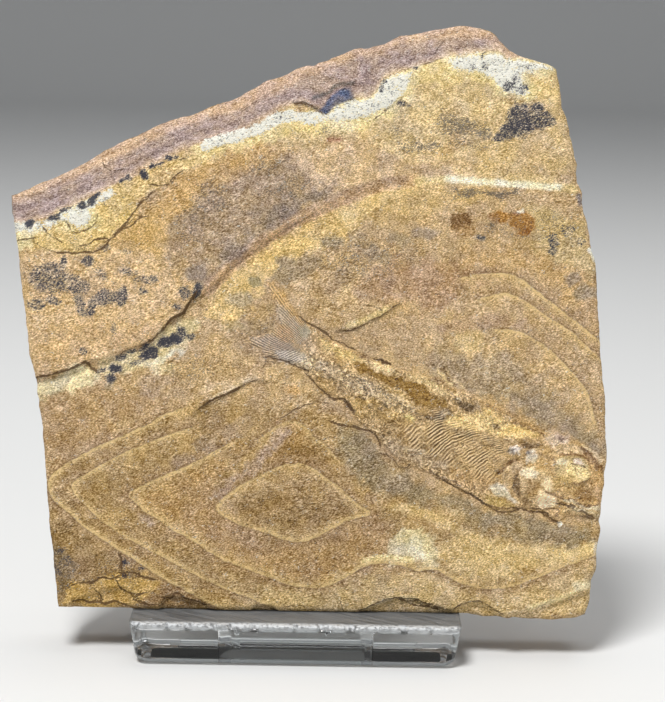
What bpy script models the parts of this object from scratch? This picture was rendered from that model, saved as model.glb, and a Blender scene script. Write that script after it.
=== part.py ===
"""Fossil fish on a split slab of banded limestone, leaning on a clear acrylic display stand.

Two pieces that touch but are not joined: fossil_slab, one solid of rock and fish, and acrylic_stand, one solid.
The slab is modelled flat in its own axes, x to the right, z up its face and y into its thickness, with the
origin in the middle of its bottom front edge, and is then leaned back on the stand. Plan coordinates on the
face are in millimetres, (across, up). All else is in metres.
"""
import math

import bmesh
import bpy
import numpy as np
from mathutils import Vector
from mathutils.geometry import delaunay_2d_cdt

MM = 0.001

# ---- driving dimensions -------------------------------------------------------------------------------------
LEAN = math.radians(10.0)       # the slab and the back rest lean back by this much
CONTACT_GAP = 0.3 * MM          # clearance kept between the slab and the stand

SLAB_THICKNESS = 12.0           # mm, plan units like the outlines below
SLAB_OFFSET_X = 5.5 * MM        # the slab stands a little to the right of the stand's middle
BEVEL_SLOPE = 0.75              # fall of the broken upper edge, mm back for each mm up
LEDGE_HEIGHT = 0.9              # mm, how far the upper left layer stands proud
CHIP_DEPTH = 0.8                # mm, layers broken away along the foot
FISH_HEIGHT = 1.3               # mm, swell of the fish above the bedding plane
OUTLINE_STEP = 1.9              # mm between points of the outline
FISH_CELL = 1.25                # mm between points on the fish
FACE_CELL = 3.1                 # mm between points on the rest of the face
BACK_CELL = 6.5                 # mm between points on the back

BASE_WIDTH = 55.6 * MM
BASE_DEPTH = 23.2 * MM
BASE_HEIGHT = 7.4 * MM
BASE_TAPER = math.radians(8.5)
BASE_CORNER = 2.6 * MM          # corner radius in plan
BASE_ROUND = 1.7 * MM           # rounding where the sides meet the underside
LEDGE_DEPTH = 7.5 * MM          # how much of the base shows in front of the slab
WINDOW_WIDTH_FRONT = 26.8 * MM
WINDOW_WIDTH_BACK = 22.3 * MM
WINDOW_DEPTH = 5.3 * MM
WINDOW_FRONT_BAR = 11.2 * MM    # solid bar left in front of the window
FOOT_RECESS_DIAMETER = 4.2 * MM
FOOT_RECESS_DEPTH = 0.5 * MM
FOOT_RECESS_SPACING = 39.0 * MM
FOOT_RECESS_SETBACK = -1.5 * MM    # from the slab's front edge, toward the viewer
REST_THICKNESS = 3.0 * MM
REST_HEIGHT = 60.0 * MM
REST_FOLD_RADIUS = 4.5 * MM     # outer radius of the fold at the top of the back rest
REST_WIDTH_FOOT = 44.0 * MM
REST_WIDTH_TOP = 26.0 * MM
REST_FOOT_REACH = 47.0 * MM     # from the base's front edge to the heel of the rear leg

# ---- outlines on the slab's face, (across, up) in mm -------------------------------------------------------
LEFT_EDGE = [(-46.0, 0.9), (-46.3, 4.0), (-46.6, 7.0), (-47.0, 10.0), (-47.4, 13.0), (-47.7, 16.0),
             (-48.1, 20.0), (-48.6, 26.0), (-49.2, 32.0), (-49.5, 33.8), (-49.9, 36.0), (-50.0, 38.5),
             (-50.6, 40.5), (-51.2, 43.0), (-52.0, 49.0), (-52.8, 55.0), (-53.4, 60.0), (-54.1, 64.5),
             (-54.8, 67.5)]
TOP_EDGE = [(-55.4, 70.0), (-54.2, 70.2), (-53.4, 70.8), (-50.6, 72.2), (-48.6, 73.0), (-46.6, 73.9),
            (-43.6, 75.4), (-41.6, 76.6), (-39.5, 78.0), (-37.5, 79.1), (-35.4, 80.1), (-34.0, 80.5),
            (-32.4, 81.6), (-30.4, 82.6), (-28.4, 83.4), (-26.3, 83.9), (-24.3, 84.3), (-22.3, 85.3),
            (-20.3, 86.0), (-18.3, 86.7), (-16.2, 87.7), (-15.2, 88.5), (-13.7, 89.2), (-12.2, 90.3),
            (-10.7, 90.7), (-9.1, 91.2), (-8.1, 91.6), (-6.9, 92.6), (-5.4, 93.1), (-4.1, 93.1),
            (-3.1, 93.8), (-1.5, 94.2), (-0.8, 94.8), (0.5, 95.2), (2.0, 95.8), (4.1, 96.4), (5.1, 96.4),
            (6.6, 96.7), (8.1, 97.1), (9.3, 97.8), (10.6, 98.5), (13.1, 98.9), (15.2, 99.4), (17.2, 99.8),
            (20.2, 100.3), (22.2, 100.4), (24.7, 99.9), (26.7, 98.7), (28.2, 97.0), (29.2, 95.9),
            (30.6, 95.0), (32.0, 94.4)]
RIGHT_EDGE = [(34.0, 93.9), (36.0, 93.3), (37.0, 92.7), (37.4, 92.0), (37.6, 90.8), (38.0, 88.5),
              (38.3, 86.0), (39.0, 84.5), (39.6, 82.5), (40.0, 80.0), (40.4, 78.0), (41.0, 76.6),
              (40.8, 75.0), (41.0, 73.3), (41.8, 71.8), (41.9, 70.0), (42.2, 68.2), (42.8, 66.5),
              (43.4, 64.5), (43.5, 62.0), (44.1, 61.0), (44.5, 59.5), (44.8, 55.0), (45.2, 49.0),
              (45.5, 44.0), (45.9, 41.0), (46.3, 36.0), (46.6, 31.0), (46.75, 27.0), (46.6, 25.0),
              (46.3, 22.0), (46.1, 19.0), (45.7, 16.0), (45.9, 15.0), (45.8, 13.5), (45.5, 12.0),
              (45.4, 10.8), (45.3, 8.1), (44.9, 7.0), (44.4, 6.0), (44.4, 3.0), (44.2, 1.8), (43.5, 0.4)]
FOOT_EDGE = [(42.0, -0.45), (38.0, -0.85), (34.0, -0.8), (30.0, -0.55), (26.0, -0.4), (23.6, 0.0), (-45.5, 0.0)]

# where the broken upper edge starts to fall away from the bedding plane
RIM = [(-54.2, 64.9), (-52.0, 64.9), (-50.0, 65.4), (-46.0, 67.0), (-42.0, 68.9), (-38.0, 71.2),
       (-34.0, 73.2), (-31.0, 75.0), (-27.0, 77.0), (-23.0, 78.9), (-18.0, 80.3), (-15.0, 81.3),
       (-12.0, 83.2), (-8.5, 85.5), (-6.0, 86.1), (-4.0, 85.3), (-1.8, 84.3), (0.8, 86.2), (3.0, 86.7),
       (5.8, 87.1), (7.3, 89.0), (8.5, 90.6), (13.0, 92.3), (18.5, 94.1), (24.0, 95.0), (27.5, 95.3),
       (29.0, 94.2), (32.0, 94.2)]
# foot of the upper left layer, which stands proud of the fish's layer
LEDGE = [(-52.0, 38.5), (-46.0, 39.9), (-42.5, 41.2), (-39.0, 42.1), (-36.0, 43.4), (-33.0, 44.2),
         (-30.5, 45.8), (-28.5, 47.4), (-27.0, 49.3), (-25.0, 51.0), (-23.5, 53.0), (-21.5, 54.0),
         (-20.0, 55.4), (-17.0, 58.9), (-14.0, 61.3), (-10.0, 64.1), (-6.0, 66.5), (-2.0, 68.3),
         (2.0, 70.2), (6.0, 71.8), (10.0, 72.8), (13.0, 73.2)]
# two low splits, each with its upper side proud
SPLITS = [[(-22.5, 33.8), (-20.5, 35.6), (-19.0, 36.1), (-17.0, 37.0), (-15.0, 38.3), (-12.7, 39.2)],
          [(2.3, 47.9), (4.0, 48.3), (6.0, 49.3), (8.0, 50.3), (10.6, 52.0)]]
# layers broken away along the foot, each closed below the slab
CHIPS = [[(5.0, -2.0), (5.0, 0.2), (7.0, 0.9), (9.0, 1.8), (11.0, 2.4), (14.5, 2.3), (16.0, 1.7),
          (20.0, 0.6), (22.0, 1.3), (23.5, 2.0), (25.0, 2.2), (27.5, 1.2), (29.5, 0.0), (29.5, -2.0)],
         [(31.0, -2.0), (31.0, 0.0), (34.0, 0.9), (37.0, 2.0), (40.0, 3.0), (42.0, 4.0), (47.0, 4.9), (47.0, -2.0)],
         [(-30.0, -2.0), (-28.6, 0.6), (-27.8, 2.2), (-25.0, 2.2), (-23.0, 1.5), (-20.0, 0.8), (-17.0, -2.0)],
         [(-14.0, -2.0), (-13.0, 0.6), (-11.0, 1.1), (-9.5, 0.8), (-7.5, -2.0)],
         [(-44.0, -2.0), (-43.5, 1.4), (-41.0, 2.3), (-37.0, 3.4), (-35.5, 4.1), (-34.0, 3.0), (-33.0, -2.0)]]

FISH_BODY = [(-5.0, 49.3), (-2.0, 47.7), (0.0, 46.2), (2.0, 45.2), (5.5, 43.4), (10.0, 41.9), (14.0, 40.6),
             (18.0, 39.7), (20.0, 38.6), (24.0, 37.2), (27.0, 36.0), (31.0, 33.8), (34.0, 32.2), (37.0, 31.0),
             (39.5, 30.5), (43.0, 28.9), (45.3, 26.6), (46.0, 24.0), (45.8, 20.0), (45.2, 17.0), (42.0, 16.7),
             (40.0, 17.0), (38.9, 15.4), (37.0, 16.8), (35.0, 17.6), (32.0, 18.0), (30.0, 17.4), (28.0, 17.7),
             (25.0, 19.2), (21.0, 21.4), (17.0, 23.4), (13.0, 24.9), (10.0, 26.9), (8.0, 29.1), (6.5, 30.6),
             (4.2, 32.3), (3.0, 34.8), (1.0, 36.1), (-1.5, 37.3), (-3.0, 38.9), (-5.0, 41.0)]
FISH_TAIL = [(-5.0, 49.3), (-7.2, 52.0), (-11.2, 56.2), (-11.2, 53.0), (-10.6, 50.4), (-13.4, 48.3),
             (-16.3, 46.0), (-14.4, 44.6), (-12.0, 43.1), (-8.0, 42.2), (-5.0, 41.0), (-2.5, 44.0)]
BACKBONE = [(-4.0, 45.0), (3.0, 41.5), (9.0, 37.8), (15.0, 34.2), (21.0, 31.4), (28.0, 28.8), (34.0, 27.2)]
JAWS = [[(35.0, 20.6), (38.0, 19.9), (41.0, 19.2), (45.6, 18.3)],
        [(38.4, 17.0), (40.5, 18.5), (43.0, 17.8), (45.2, 17.1)]]
GILL_GROOVE = [(28.4, 23.9), (29.6, 25.2), (31.0, 26.1), (32.0, 26.2)]
OPERCLE = ((34.6, 22.2), (3.0, 3.4))    # centre, radii
EYE = ((41.2, 24.9), (3.2, 2.4))


# ---- plan geometry -------------------------------------------------------------------------------------------
def resampled(points, step, closed=False):
    """Points about step apart along a polyline, ends kept."""
    path = np.array(points + points[:1] if closed else points, float)
    lengths = np.hypot(*np.diff(path, axis=0).T)
    along = np.concatenate([[0.0], np.cumsum(lengths)])
    count = max(2, int(round(along[-1] / step)) + 1)
    stations = np.linspace(0.0, along[-1], count)
    if closed:
        stations = stations[:-1]
    return np.stack([np.interp(stations, along, path[:, k]) for k in (0, 1)], axis=1)


def distance_to_line(plan, line):
    """Distance of each plan point from a polyline, positive on the left of its direction of travel."""
    path = np.array(line, float)
    best = np.full(len(plan), 1e9)
    side = np.ones(len(plan))
    for start, end in zip(path[:-1], path[1:]):
        run = end - start
        offset = plan - start
        t = np.clip(offset @ run / (run @ run), 0.0, 1.0)
        gap = np.hypot(*(offset - t[:, None] * run).T)
        cross = run[0] * offset[:, 1] - run[1] * offset[:, 0]
        nearer = gap < best - 1e-9
        best = np.where(nearer, gap, best)
        side = np.where(nearer, np.sign(cross), side)
    return best * side


def inside(plan, polygon):
    """True for each plan point within a closed polygon."""
    ring = np.array(polygon, float)
    hit = np.zeros(len(plan), bool)
    for (x0, y0), (x1, y1) in zip(ring, np.roll(ring, -1, axis=0)):
        if y0 == y1:
            continue
        spans = (plan[:, 1] < y0) != (plan[:, 1] < y1)
        hit ^= spans & (plan[:, 0] < x0 + (plan[:, 1] - y0) / (y1 - y0) * (x1 - x0))
    return hit


def depth_inside(plan, polygon):
    """Distance in from a closed polygon's edge, negative outside it."""
    gap = np.abs(distance_to_line(plan, polygon + polygon[:1]))
    return np.where(inside(plan, polygon), gap, -gap)


def ease(value, low, high):
    """0 below low, 1 above high, smooth between."""
    t = np.clip((value - low) / (high - low), 0.0, 1.0)
    return t * t * (3.0 - 2.0 * t)


def ripple(plan, wavelength, seed):
    """Smooth unevenness between about -1 and 1: five crossed waves in directions set by the seed."""
    total = np.zeros(len(plan))
    for k in range(5):
        angle = seed * 1.7 + k * 2.399
        scale = 2.0 * math.pi / wavelength * (0.7 + 0.17 * k)
        phase = seed * 3.1 + k * 1.3
        total += np.sin(scale * (plan[:, 0] * math.cos(angle) + plan[:, 1] * math.sin(angle)) + phase)
    return total / 3.0


def ellipse_radius(plan, ellipse):
    """1 on the ellipse, less inside it."""
    (cx, cy), (rx, ry) = ellipse
    return np.hypot((plan[:, 0] - cx) / rx, (plan[:, 1] - cy) / ry)


# ---- the slab's face -----------------------------------------------------------------------------------------
def fish_relief(plan):
    """Height of the fish above the bedding plane, in mm."""
    body = depth_inside(plan, FISH_BODY)
    height = FISH_HEIGHT * (0.3 * ease(body, 0.0, 0.6) + 0.7 * ease(body, 0.3, 6.0))
    height += 0.35 * ease(depth_inside(plan, FISH_TAIL), 0.0, 0.8) * (body < 0.0)
    spine = np.abs(distance_to_line(plan, BACKBONE))
    height += 0.3 * (1.0 - ease(spine, 0.0, 1.2))
    cover = ellipse_radius(plan, OPERCLE)
    height += 0.45 * (1.0 - ease(cover, 0.6, 1.1))
    socket = ellipse_radius(plan, EYE)
    height += 0.35 * (1.0 - ease(np.abs(socket - 1.0), 0.0, 0.35)) - 0.3 * (1.0 - ease(socket, 0.5, 1.0))
    for jaw in JAWS:
        height += 0.4 * (1.0 - ease(np.abs(distance_to_line(plan, jaw)), 0.1, 0.9))
    groove = np.abs(distance_to_line(plan, GILL_GROOVE))
    height -= 0.35 * (1.0 - ease(groove, 0.1, 0.8))
    return height


def face_depth(plan):
    """How far the front face lies behind the bedding plane of the fish, in mm, negative where it stands proud."""
    above_rim = distance_to_line(plan, RIM)
    fall = np.maximum(above_rim, 0.0)
    bevel = BEVEL_SLOPE * fall * ease(fall, -1.0, 1.6)
    streaks = 0.35 * np.sin(above_rim * 3.4 + ripple(plan, 14.0, 4)) * ease(fall, 0.5, 1.5)
    ledge = LEDGE_HEIGHT * ease(distance_to_line(plan, LEDGE), -0.3, 0.35)
    ledge *= 1.0 - ease(plan[:, 0], -14.0, 12.0)
    depth = bevel + streaks - ledge - fish_relief(plan)
    for line in SPLITS:
        lift = distance_to_line(plan, line)
        depth -= 0.5 * ease(lift, -0.15, 0.15) * (1.0 - ease(np.abs(lift), 0.4, 3.5))
    for chip in CHIPS:
        depth += CHIP_DEPTH * ease(depth_inside(plan, chip), -0.1, 0.7)
    uneven = 0.22 * ripple(plan, 19.0, 1) + 0.10 * ripple(plan, 6.5, 2)
    return depth + uneven


def slab_outline():
    """Closed outline of the face, clockwise from the bottom left corner, slightly ragged like broken rock."""
    loop = resampled(LEFT_EDGE + TOP_EDGE + RIGHT_EDGE + FOOT_EDGE, OUTLINE_STEP, closed=True)
    rag = np.stack([ripple(loop, 3.1, 7), ripple(loop, 3.7, 8)], axis=1) * 0.13
    standing = (loop[:, 1] < 0.5) & (loop[:, 0] < 24.0)
    rag[standing] = 0.0
    return loop + rag


def inward_normals(loop):
    """Unit vectors pointing into a clockwise loop."""
    tangent = np.roll(loop, -1, axis=0) - np.roll(loop, 1, axis=0)
    tangent /= np.hypot(*tangent.T)[:, None]
    return np.stack([tangent[:, 1], -tangent[:, 0]], axis=1)


def foot_height(x):
    """Height of the slab's foot at the front, which dips where it overhangs the stand."""
    dip_x = [23.6, 30.0, 38.0, 42.0, 44.5]
    dip_z = [0.0, -0.55, -0.85, -0.45, 1.0]
    return np.interp(x, dip_x, dip_z)


def side_ring(loop, depth, inset):
    """The outline moved in by inset at a depth, kept above the flat underside that the lean calls for."""
    moved = loop + inward_normals(loop) * inset[:, None]
    floor = foot_height(moved[:, 0]) + depth * math.tan(LEAN)
    moved[:, 1] = np.maximum(moved[:, 1], floor)
    return moved


def face_points(outline):
    """Points for the front face: along each sharp feature, dense on the fish, sparse elsewhere."""
    kept = [outline]

    def add(points, clearance):
        points = points[depth_inside(points, outline.tolist()) > 0.8]
        for point in points:
            if np.min([np.min(np.hypot(*(block - point).T)) for block in kept if len(block)]) > clearance:
                kept.append(point[None, :])

    def add_pair(line, gap):
        """Two rows of points, one on each side of a line."""
        row = resampled(line, OUTLINE_STEP)
        run = np.gradient(row, axis=0)
        normal = np.stack([-run[:, 1], run[:, 0]], axis=1) / np.hypot(*run.T)[:, None]
        add(row + normal * gap, 0.45)
        add(row - normal * gap, 0.45)

    add_pair(LEDGE, 0.35)
    for line in SPLITS + JAWS:
        add_pair(line, 0.3)
    add(resampled(RIM, OUTLINE_STEP), 0.7)
    add(resampled(GILL_GROOVE, 1.0), 0.7)
    add_pair(FISH_BODY + FISH_BODY[:1], 0.3)
    for polygon in [FISH_TAIL] + CHIPS:
        add(resampled(polygon, 1.6, closed=True), 0.7)
    add(grid_points(FISH_BODY + FISH_TAIL, FISH_CELL, lambda p: inside(p, FISH_BODY) | inside(p, FISH_TAIL)), 0.75)
    above_rim = grid_points(outline.tolist(), 1.9, lambda p: distance_to_line(p, RIM) > 0.0)
    add(above_rim, 1.2)
    add(grid_points(outline.tolist(), FACE_CELL, lambda p: np.ones(len(p), bool)), 1.6)
    return np.concatenate(kept)


def grid_points(around, cell, wanted):
    """Staggered grid over the box around some points, gently jittered, where wanted says so."""
    low, high = np.min(around, axis=0), np.max(around, axis=0)
    rows = np.arange(low[1], high[1], cell * 0.87)
    points = []
    for k, y in enumerate(rows):
        x = np.arange(low[0] + (k % 2) * cell / 2.0, high[0], cell)
        points.append(np.stack([x, np.full_like(x, y)], axis=1))
    points = np.concatenate(points)
    points += 0.16 * cell * np.stack([ripple(points, 5.3, 11), ripple(points, 4.7, 12)], axis=1)
    return points[wanted(points)]


def triangles_in(points, loop_size):
    """Delaunay triangles of plan points whose first loop_size points are the outline."""
    edges = [(k, (k + 1) % loop_size) for k in range(loop_size)]
    verts, _, faces, *_ = delaunay_2d_cdt([Vector(p) for p in points], edges, [], 1, 1e-6)
    return np.array([v[:] for v in verts]), faces


def build_slab():
    """The slab as one closed mesh: triangulated face and back, and rings of quads for the sides."""
    outline = slab_outline()
    count = len(outline)
    front_plan, front_faces = triangles_in(face_points(outline), count)
    grain = 0.45 + 0.35 * ripple(outline, 9.0, 15)
    ring_depths = [0.7, 3.2, 6.0, 8.6, 11.2]
    ring_insets = [-0.05, 0.25, 0.1, 0.5, 0.9]
    front_depth = face_depth(outline)

    mesh = bmesh.new()

    def vertex_ring(plan, depth):
        return [mesh.verts.new((x * MM, d * MM, z * MM)) for (x, z), d in zip(plan, depth)]

    front = vertex_ring(front_plan, face_depth(front_plan))
    mesh.verts.ensure_lookup_table()
    for face in front_faces:
        mesh.faces.new([front[k] for k in face])
    previous = front[:count]
    for level, inset in zip(ring_depths, ring_insets):
        depth = np.maximum(level + 0.35 * ripple(outline, 8.0, level), front_depth + level * 0.12 + 0.3)
        depth = np.minimum(depth, SLAB_THICKNESS - 0.9 + level * 0.03)
        ring = vertex_ring(side_ring(outline, depth, inset + 0.25 * grain * (inset > 0.0)), depth)
        bridge(mesh, previous, ring)
        previous = ring
    back_depth = np.full(count, SLAB_THICKNESS)
    back_outline = side_ring(outline, back_depth, np.full(count, 1.5))
    fill = grid_points(back_outline.tolist(), BACK_CELL, lambda p: depth_inside(p, back_outline.tolist()) > 2.5)
    back_plan, back_faces = triangles_in(np.concatenate([back_outline, fill]), count)
    leaned_on = 1.0 - ease(np.abs(back_plan[:, 0] + 5.5), 24.0, 30.0) * 1.0
    hollow = 0.45 * (1.0 + ripple(back_plan, 17.0, 21)) * (1.0 - leaned_on)
    rim = np.arange(len(back_plan)) < count
    back = vertex_ring(back_plan, SLAB_THICKNESS - np.where(rim, 0.0, hollow))
    for face in back_faces:
        mesh.faces.new([back[k] for k in reversed(face)])
    bridge(mesh, previous, back[:count])
    bmesh.ops.triangulate(mesh, faces=[f for f in mesh.faces if len(f.verts) > 3])
    bmesh.ops.recalc_face_normals(mesh, faces=mesh.faces)
    slab = finished_object("fossil_slab", mesh)
    slab.location = (SLAB_OFFSET_X, 0.0, BASE_HEIGHT + CONTACT_GAP)
    slab.rotation_euler = (-LEAN, 0.0, 0.0)
    return slab


def bridge(mesh, ring_a, ring_b):
    """Quads between two rings of equal size."""
    count = len(ring_a)
    for k in range(count):
        after = (k + 1) % count
        mesh.faces.new([ring_a[k], ring_a[after], ring_b[after], ring_b[k]])


# ---- the stand -----------------------------------------------------------------------------------------------
def rounded_rectangle(width, depth, radius, middle_y):
    """Plan loop with round corners, counter-clockwise."""
    loop = []
    corners = [(1, 1, 0.0), (-1, 1, 90.0), (-1, -1, 180.0), (1, -1, 270.0)]
    for sx, sy, start in corners:
        cx = sx * (width / 2.0 - radius)
        cy = middle_y + sy * (depth / 2.0 - radius)
        for step in range(5):
            angle = math.radians(start + step * 22.5)
            loop.append((cx + radius * math.cos(angle), cy + radius * math.sin(angle)))
    return loop


def base_block():
    """Base with tapered sides and a rounded lower edge, standing on z = 0."""
    mesh = bmesh.new()
    middle_y = BASE_DEPTH / 2.0 - LEDGE_DEPTH
    levels = [(BASE_HEIGHT, 0.0)]
    for step in range(5):
        angle = math.radians(90.0 * step / 4.0)
        height = BASE_ROUND * (1.0 - math.sin(angle))
        tapered = (BASE_HEIGHT - height) * math.tan(BASE_TAPER)
        levels.append((height, tapered + BASE_ROUND * (1.0 - math.cos(angle))))
    rings = []
    for height, inset in levels:
        plan = rounded_rectangle(BASE_WIDTH - 2 * inset, BASE_DEPTH - 2 * inset, BASE_CORNER - 0.3 * inset, middle_y)
        rings.append([mesh.verts.new((x, y, height)) for x, y in plan])
    for upper, lower in zip(rings[:-1], rings[1:]):
        bridge(mesh, upper, lower)
    mesh.faces.new(rings[0])
    mesh.faces.new(rings[-1])
    bmesh.ops.recalc_face_normals(mesh, faces=mesh.faces)
    return finished_object("acrylic_stand", mesh)


def rest_profile():
    """Side view, (y, z), of the back rest: up behind the slab, over a round fold and down to the table."""
    up = Vector((math.sin(LEAN), math.cos(LEAN)))
    back = Vector((math.cos(LEAN), -math.sin(LEAN)))
    slab_back = (SLAB_THICKNESS * MM + CONTACT_GAP) / math.cos(LEAN)
    start_z = 0.8 * MM
    front_foot = Vector((slab_back + (start_z - BASE_HEIGHT) * math.tan(LEAN), start_z))
    rise = (REST_HEIGHT - start_z) / math.cos(LEAN) - REST_FOLD_RADIUS
    centre = front_foot + up * rise + back * REST_FOLD_RADIUS
    heel = Vector((REST_FOOT_REACH - LEDGE_DEPTH, 0.0))
    toward = heel - centre
    leg_angle = math.atan2(toward.y, toward.x) - math.asin(REST_FOLD_RADIUS / toward.length)
    leg_down = Vector((math.cos(leg_angle), math.sin(leg_angle)))
    leg_out = Vector((-leg_down.y, leg_down.x))
    first = math.atan2(-back.y, -back.x)
    last = math.atan2(leg_out.y, leg_out.x)
    outer, inner = [front_foot], [front_foot + back * REST_THICKNESS]
    for step in range(9):
        angle = first + (last - first) * step / 8.0
        arm = Vector((math.cos(angle), math.sin(angle)))
        outer.append(centre + arm * REST_FOLD_RADIUS)
        inner.append(centre + arm * (REST_FOLD_RADIUS - REST_THICKNESS))
    tip = outer[-1] + leg_down * (outer[-1].y / -leg_down.y)
    under = inner[-1] + leg_down * (inner[-1].y / -leg_down.y)
    return outer + [tip], inner + [under]


def back_rest():
    """The rest's profile drawn out sideways, narrower toward the fold."""
    outer, inner = rest_profile()
    loop = outer + inner[::-1]
    mesh = bmesh.new()
    sides = []
    for sign in (-1, 1):
        ring = []
        for y, z in loop:
            narrowing = (REST_WIDTH_FOOT - REST_WIDTH_TOP) * z / REST_HEIGHT
            ring.append(mesh.verts.new((sign * (REST_WIDTH_FOOT - narrowing) / 2.0, y, z)))
        sides.append(ring)
    bridge(mesh, sides[0], sides[1])
    mesh.faces.new(sides[0])
    mesh.faces.new(sides[1])
    bmesh.ops.recalc_face_normals(mesh, faces=mesh.faces)
    return finished_object("rest_shape", mesh)


def window_cutter():
    """Prism through the base, wider at its front."""
    front = WINDOW_FRONT_BAR - LEDGE_DEPTH
    plan = [(-WINDOW_WIDTH_FRONT / 2, front), (WINDOW_WIDTH_FRONT / 2, front),
            (WINDOW_WIDTH_BACK / 2, front + WINDOW_DEPTH), (-WINDOW_WIDTH_BACK / 2, front + WINDOW_DEPTH)]
    mesh = bmesh.new()
    rings = [[mesh.verts.new((x, y, z)) for x, y in plan] for z in (-BASE_HEIGHT, 2 * BASE_HEIGHT)]
    bridge(mesh, rings[0], rings[1])
    mesh.faces.new(rings[0])
    mesh.faces.new(rings[1])
    bmesh.ops.recalc_face_normals(mesh, faces=mesh.faces)
    return finished_object("window_cutter", mesh)


def recess_cutter(side):
    """Shallow round recess in the underside."""
    mesh = bmesh.new()
    bmesh.ops.create_cone(mesh, cap_ends=True, segments=24, radius1=FOOT_RECESS_DIAMETER / 2,
                          radius2=FOOT_RECESS_DIAMETER / 2, depth=2 * FOOT_RECESS_DEPTH)
    cutter = finished_object("recess_cutter_" + ("left" if side < 0 else "right"), mesh)
    cutter.location = (side * FOOT_RECESS_SPACING / 2.0, FOOT_RECESS_SETBACK, 0.0)
    return cutter


def build_stand():
    """Base with the back rest joined on and the window and foot recesses cut out."""
    stand = base_block()
    helpers = [(back_rest(), "UNION"), (window_cutter(), "DIFFERENCE"),
               (recess_cutter(-1), "DIFFERENCE"), (recess_cutter(1), "DIFFERENCE")]
    for helper, operation in helpers:
        helper.hide_render = True
        helper.display_type = "WIRE"
        helper.parent = stand
        cut = stand.modifiers.new(helper.name, "BOOLEAN")
        cut.operation = operation
        cut.object = helper
    return stand


# ---- objects and materials -----------------------------------------------------------------------------------
def finished_object(name, mesh):
    """A scene object from a bmesh, which is freed."""
    data = bpy.data.meshes.new(name)
    mesh.to_mesh(data)
    mesh.free()
    made = bpy.data.objects.new(name, data)
    bpy.context.scene.collection.objects.link(made)
    return made


def limestone():
    material = bpy.data.materials.new("banded limestone")
    material.use_nodes = True
    shader = material.node_tree.nodes["Principled BSDF"]
    shader.inputs["Base Color"].default_value = (0.56, 0.38, 0.19, 1.0)
    shader.inputs["Roughness"].default_value = 0.85
    shader.inputs["Metallic"].default_value = 0.0
    return material


def clear_acrylic():
    material = bpy.data.materials.new("clear acrylic")
    material.use_nodes = True
    shader = material.node_tree.nodes["Principled BSDF"]
    shader.inputs["Base Color"].default_value = (0.92, 0.94, 0.95, 1.0)
    shader.inputs["Roughness"].default_value = 0.05
    shader.inputs["Metallic"].default_value = 0.0
    shader.inputs["IOR"].default_value = 1.49
    shader.inputs["Transmission Weight"].default_value = 1.0
    return material


def centre_on_floor(objects):
    """Shift the objects so that the middle of their shared box's underside is the origin."""
    bpy.context.view_layer.update()
    graph = bpy.context.evaluated_depsgraph_get()
    corners = []
    for thing in objects:
        solid = thing.evaluated_get(graph)
        corners += [solid.matrix_world @ vertex.co for vertex in solid.data.vertices]
    low = Vector([min(c[k] for c in corners) for k in range(3)])
    high = Vector([max(c[k] for c in corners) for k in range(3)])
    middle = (low + high) / 2.0
    for thing in objects:
        thing.location -= Vector((middle.x, middle.y, low.z))


for leftover in list(bpy.data.objects):
    bpy.data.objects.remove(leftover, do_unlink=True)
stand = build_stand()
stand.data.materials.append(clear_acrylic())
slab = build_slab()
slab.data.materials.append(limestone())
centre_on_floor([slab, stand])
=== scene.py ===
"""Looks of the fossil fish slab: the banded limestone slab, the fish in it and the clear acrylic stand."""
import math

import bpy
import numpy as np
from mathutils import Matrix, Vector


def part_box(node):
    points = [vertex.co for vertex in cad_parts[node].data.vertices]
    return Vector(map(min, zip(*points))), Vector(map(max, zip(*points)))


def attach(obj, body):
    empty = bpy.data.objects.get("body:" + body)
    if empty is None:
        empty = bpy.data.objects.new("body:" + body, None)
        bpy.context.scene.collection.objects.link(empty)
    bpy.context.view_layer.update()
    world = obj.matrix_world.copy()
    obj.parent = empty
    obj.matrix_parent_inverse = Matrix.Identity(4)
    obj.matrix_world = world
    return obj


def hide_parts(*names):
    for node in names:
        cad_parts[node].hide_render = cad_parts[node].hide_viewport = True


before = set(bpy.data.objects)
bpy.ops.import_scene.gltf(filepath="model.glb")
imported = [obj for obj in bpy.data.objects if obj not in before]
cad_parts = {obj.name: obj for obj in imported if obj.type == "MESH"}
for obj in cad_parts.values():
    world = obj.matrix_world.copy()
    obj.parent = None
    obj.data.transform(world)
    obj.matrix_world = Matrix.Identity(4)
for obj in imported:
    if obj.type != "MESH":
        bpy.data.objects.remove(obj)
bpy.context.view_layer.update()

# ---- the slab: its place and outline ------------------------------------------------------------------------
# A slab of fine limestone split along its bedding, about 100 mm each way and 12 mm thick. It leans back on the
# stand. Plan coordinates are millimetres on its face, (across, up), from the middle of its bottom front edge.
MM = 0.001
LEAN = math.radians(10.0)
THICKNESS = 12.0
stand_low, stand_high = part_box("acrylic_stand")
BASE_HEIGHT = 7.4 * MM
LEDGE_DEPTH = 7.5 * MM
SLAB_ORIGIN = Vector(((stand_low.x + stand_high.x) / 2 + 5.5 * MM, stand_low.y + LEDGE_DEPTH, BASE_HEIGHT + 0.3 * MM))
ALONG_UP = Vector((0.0, math.sin(LEAN), math.cos(LEAN)))
ALONG_BACK = Vector((0.0, math.cos(LEAN), -math.sin(LEAN)))

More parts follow.
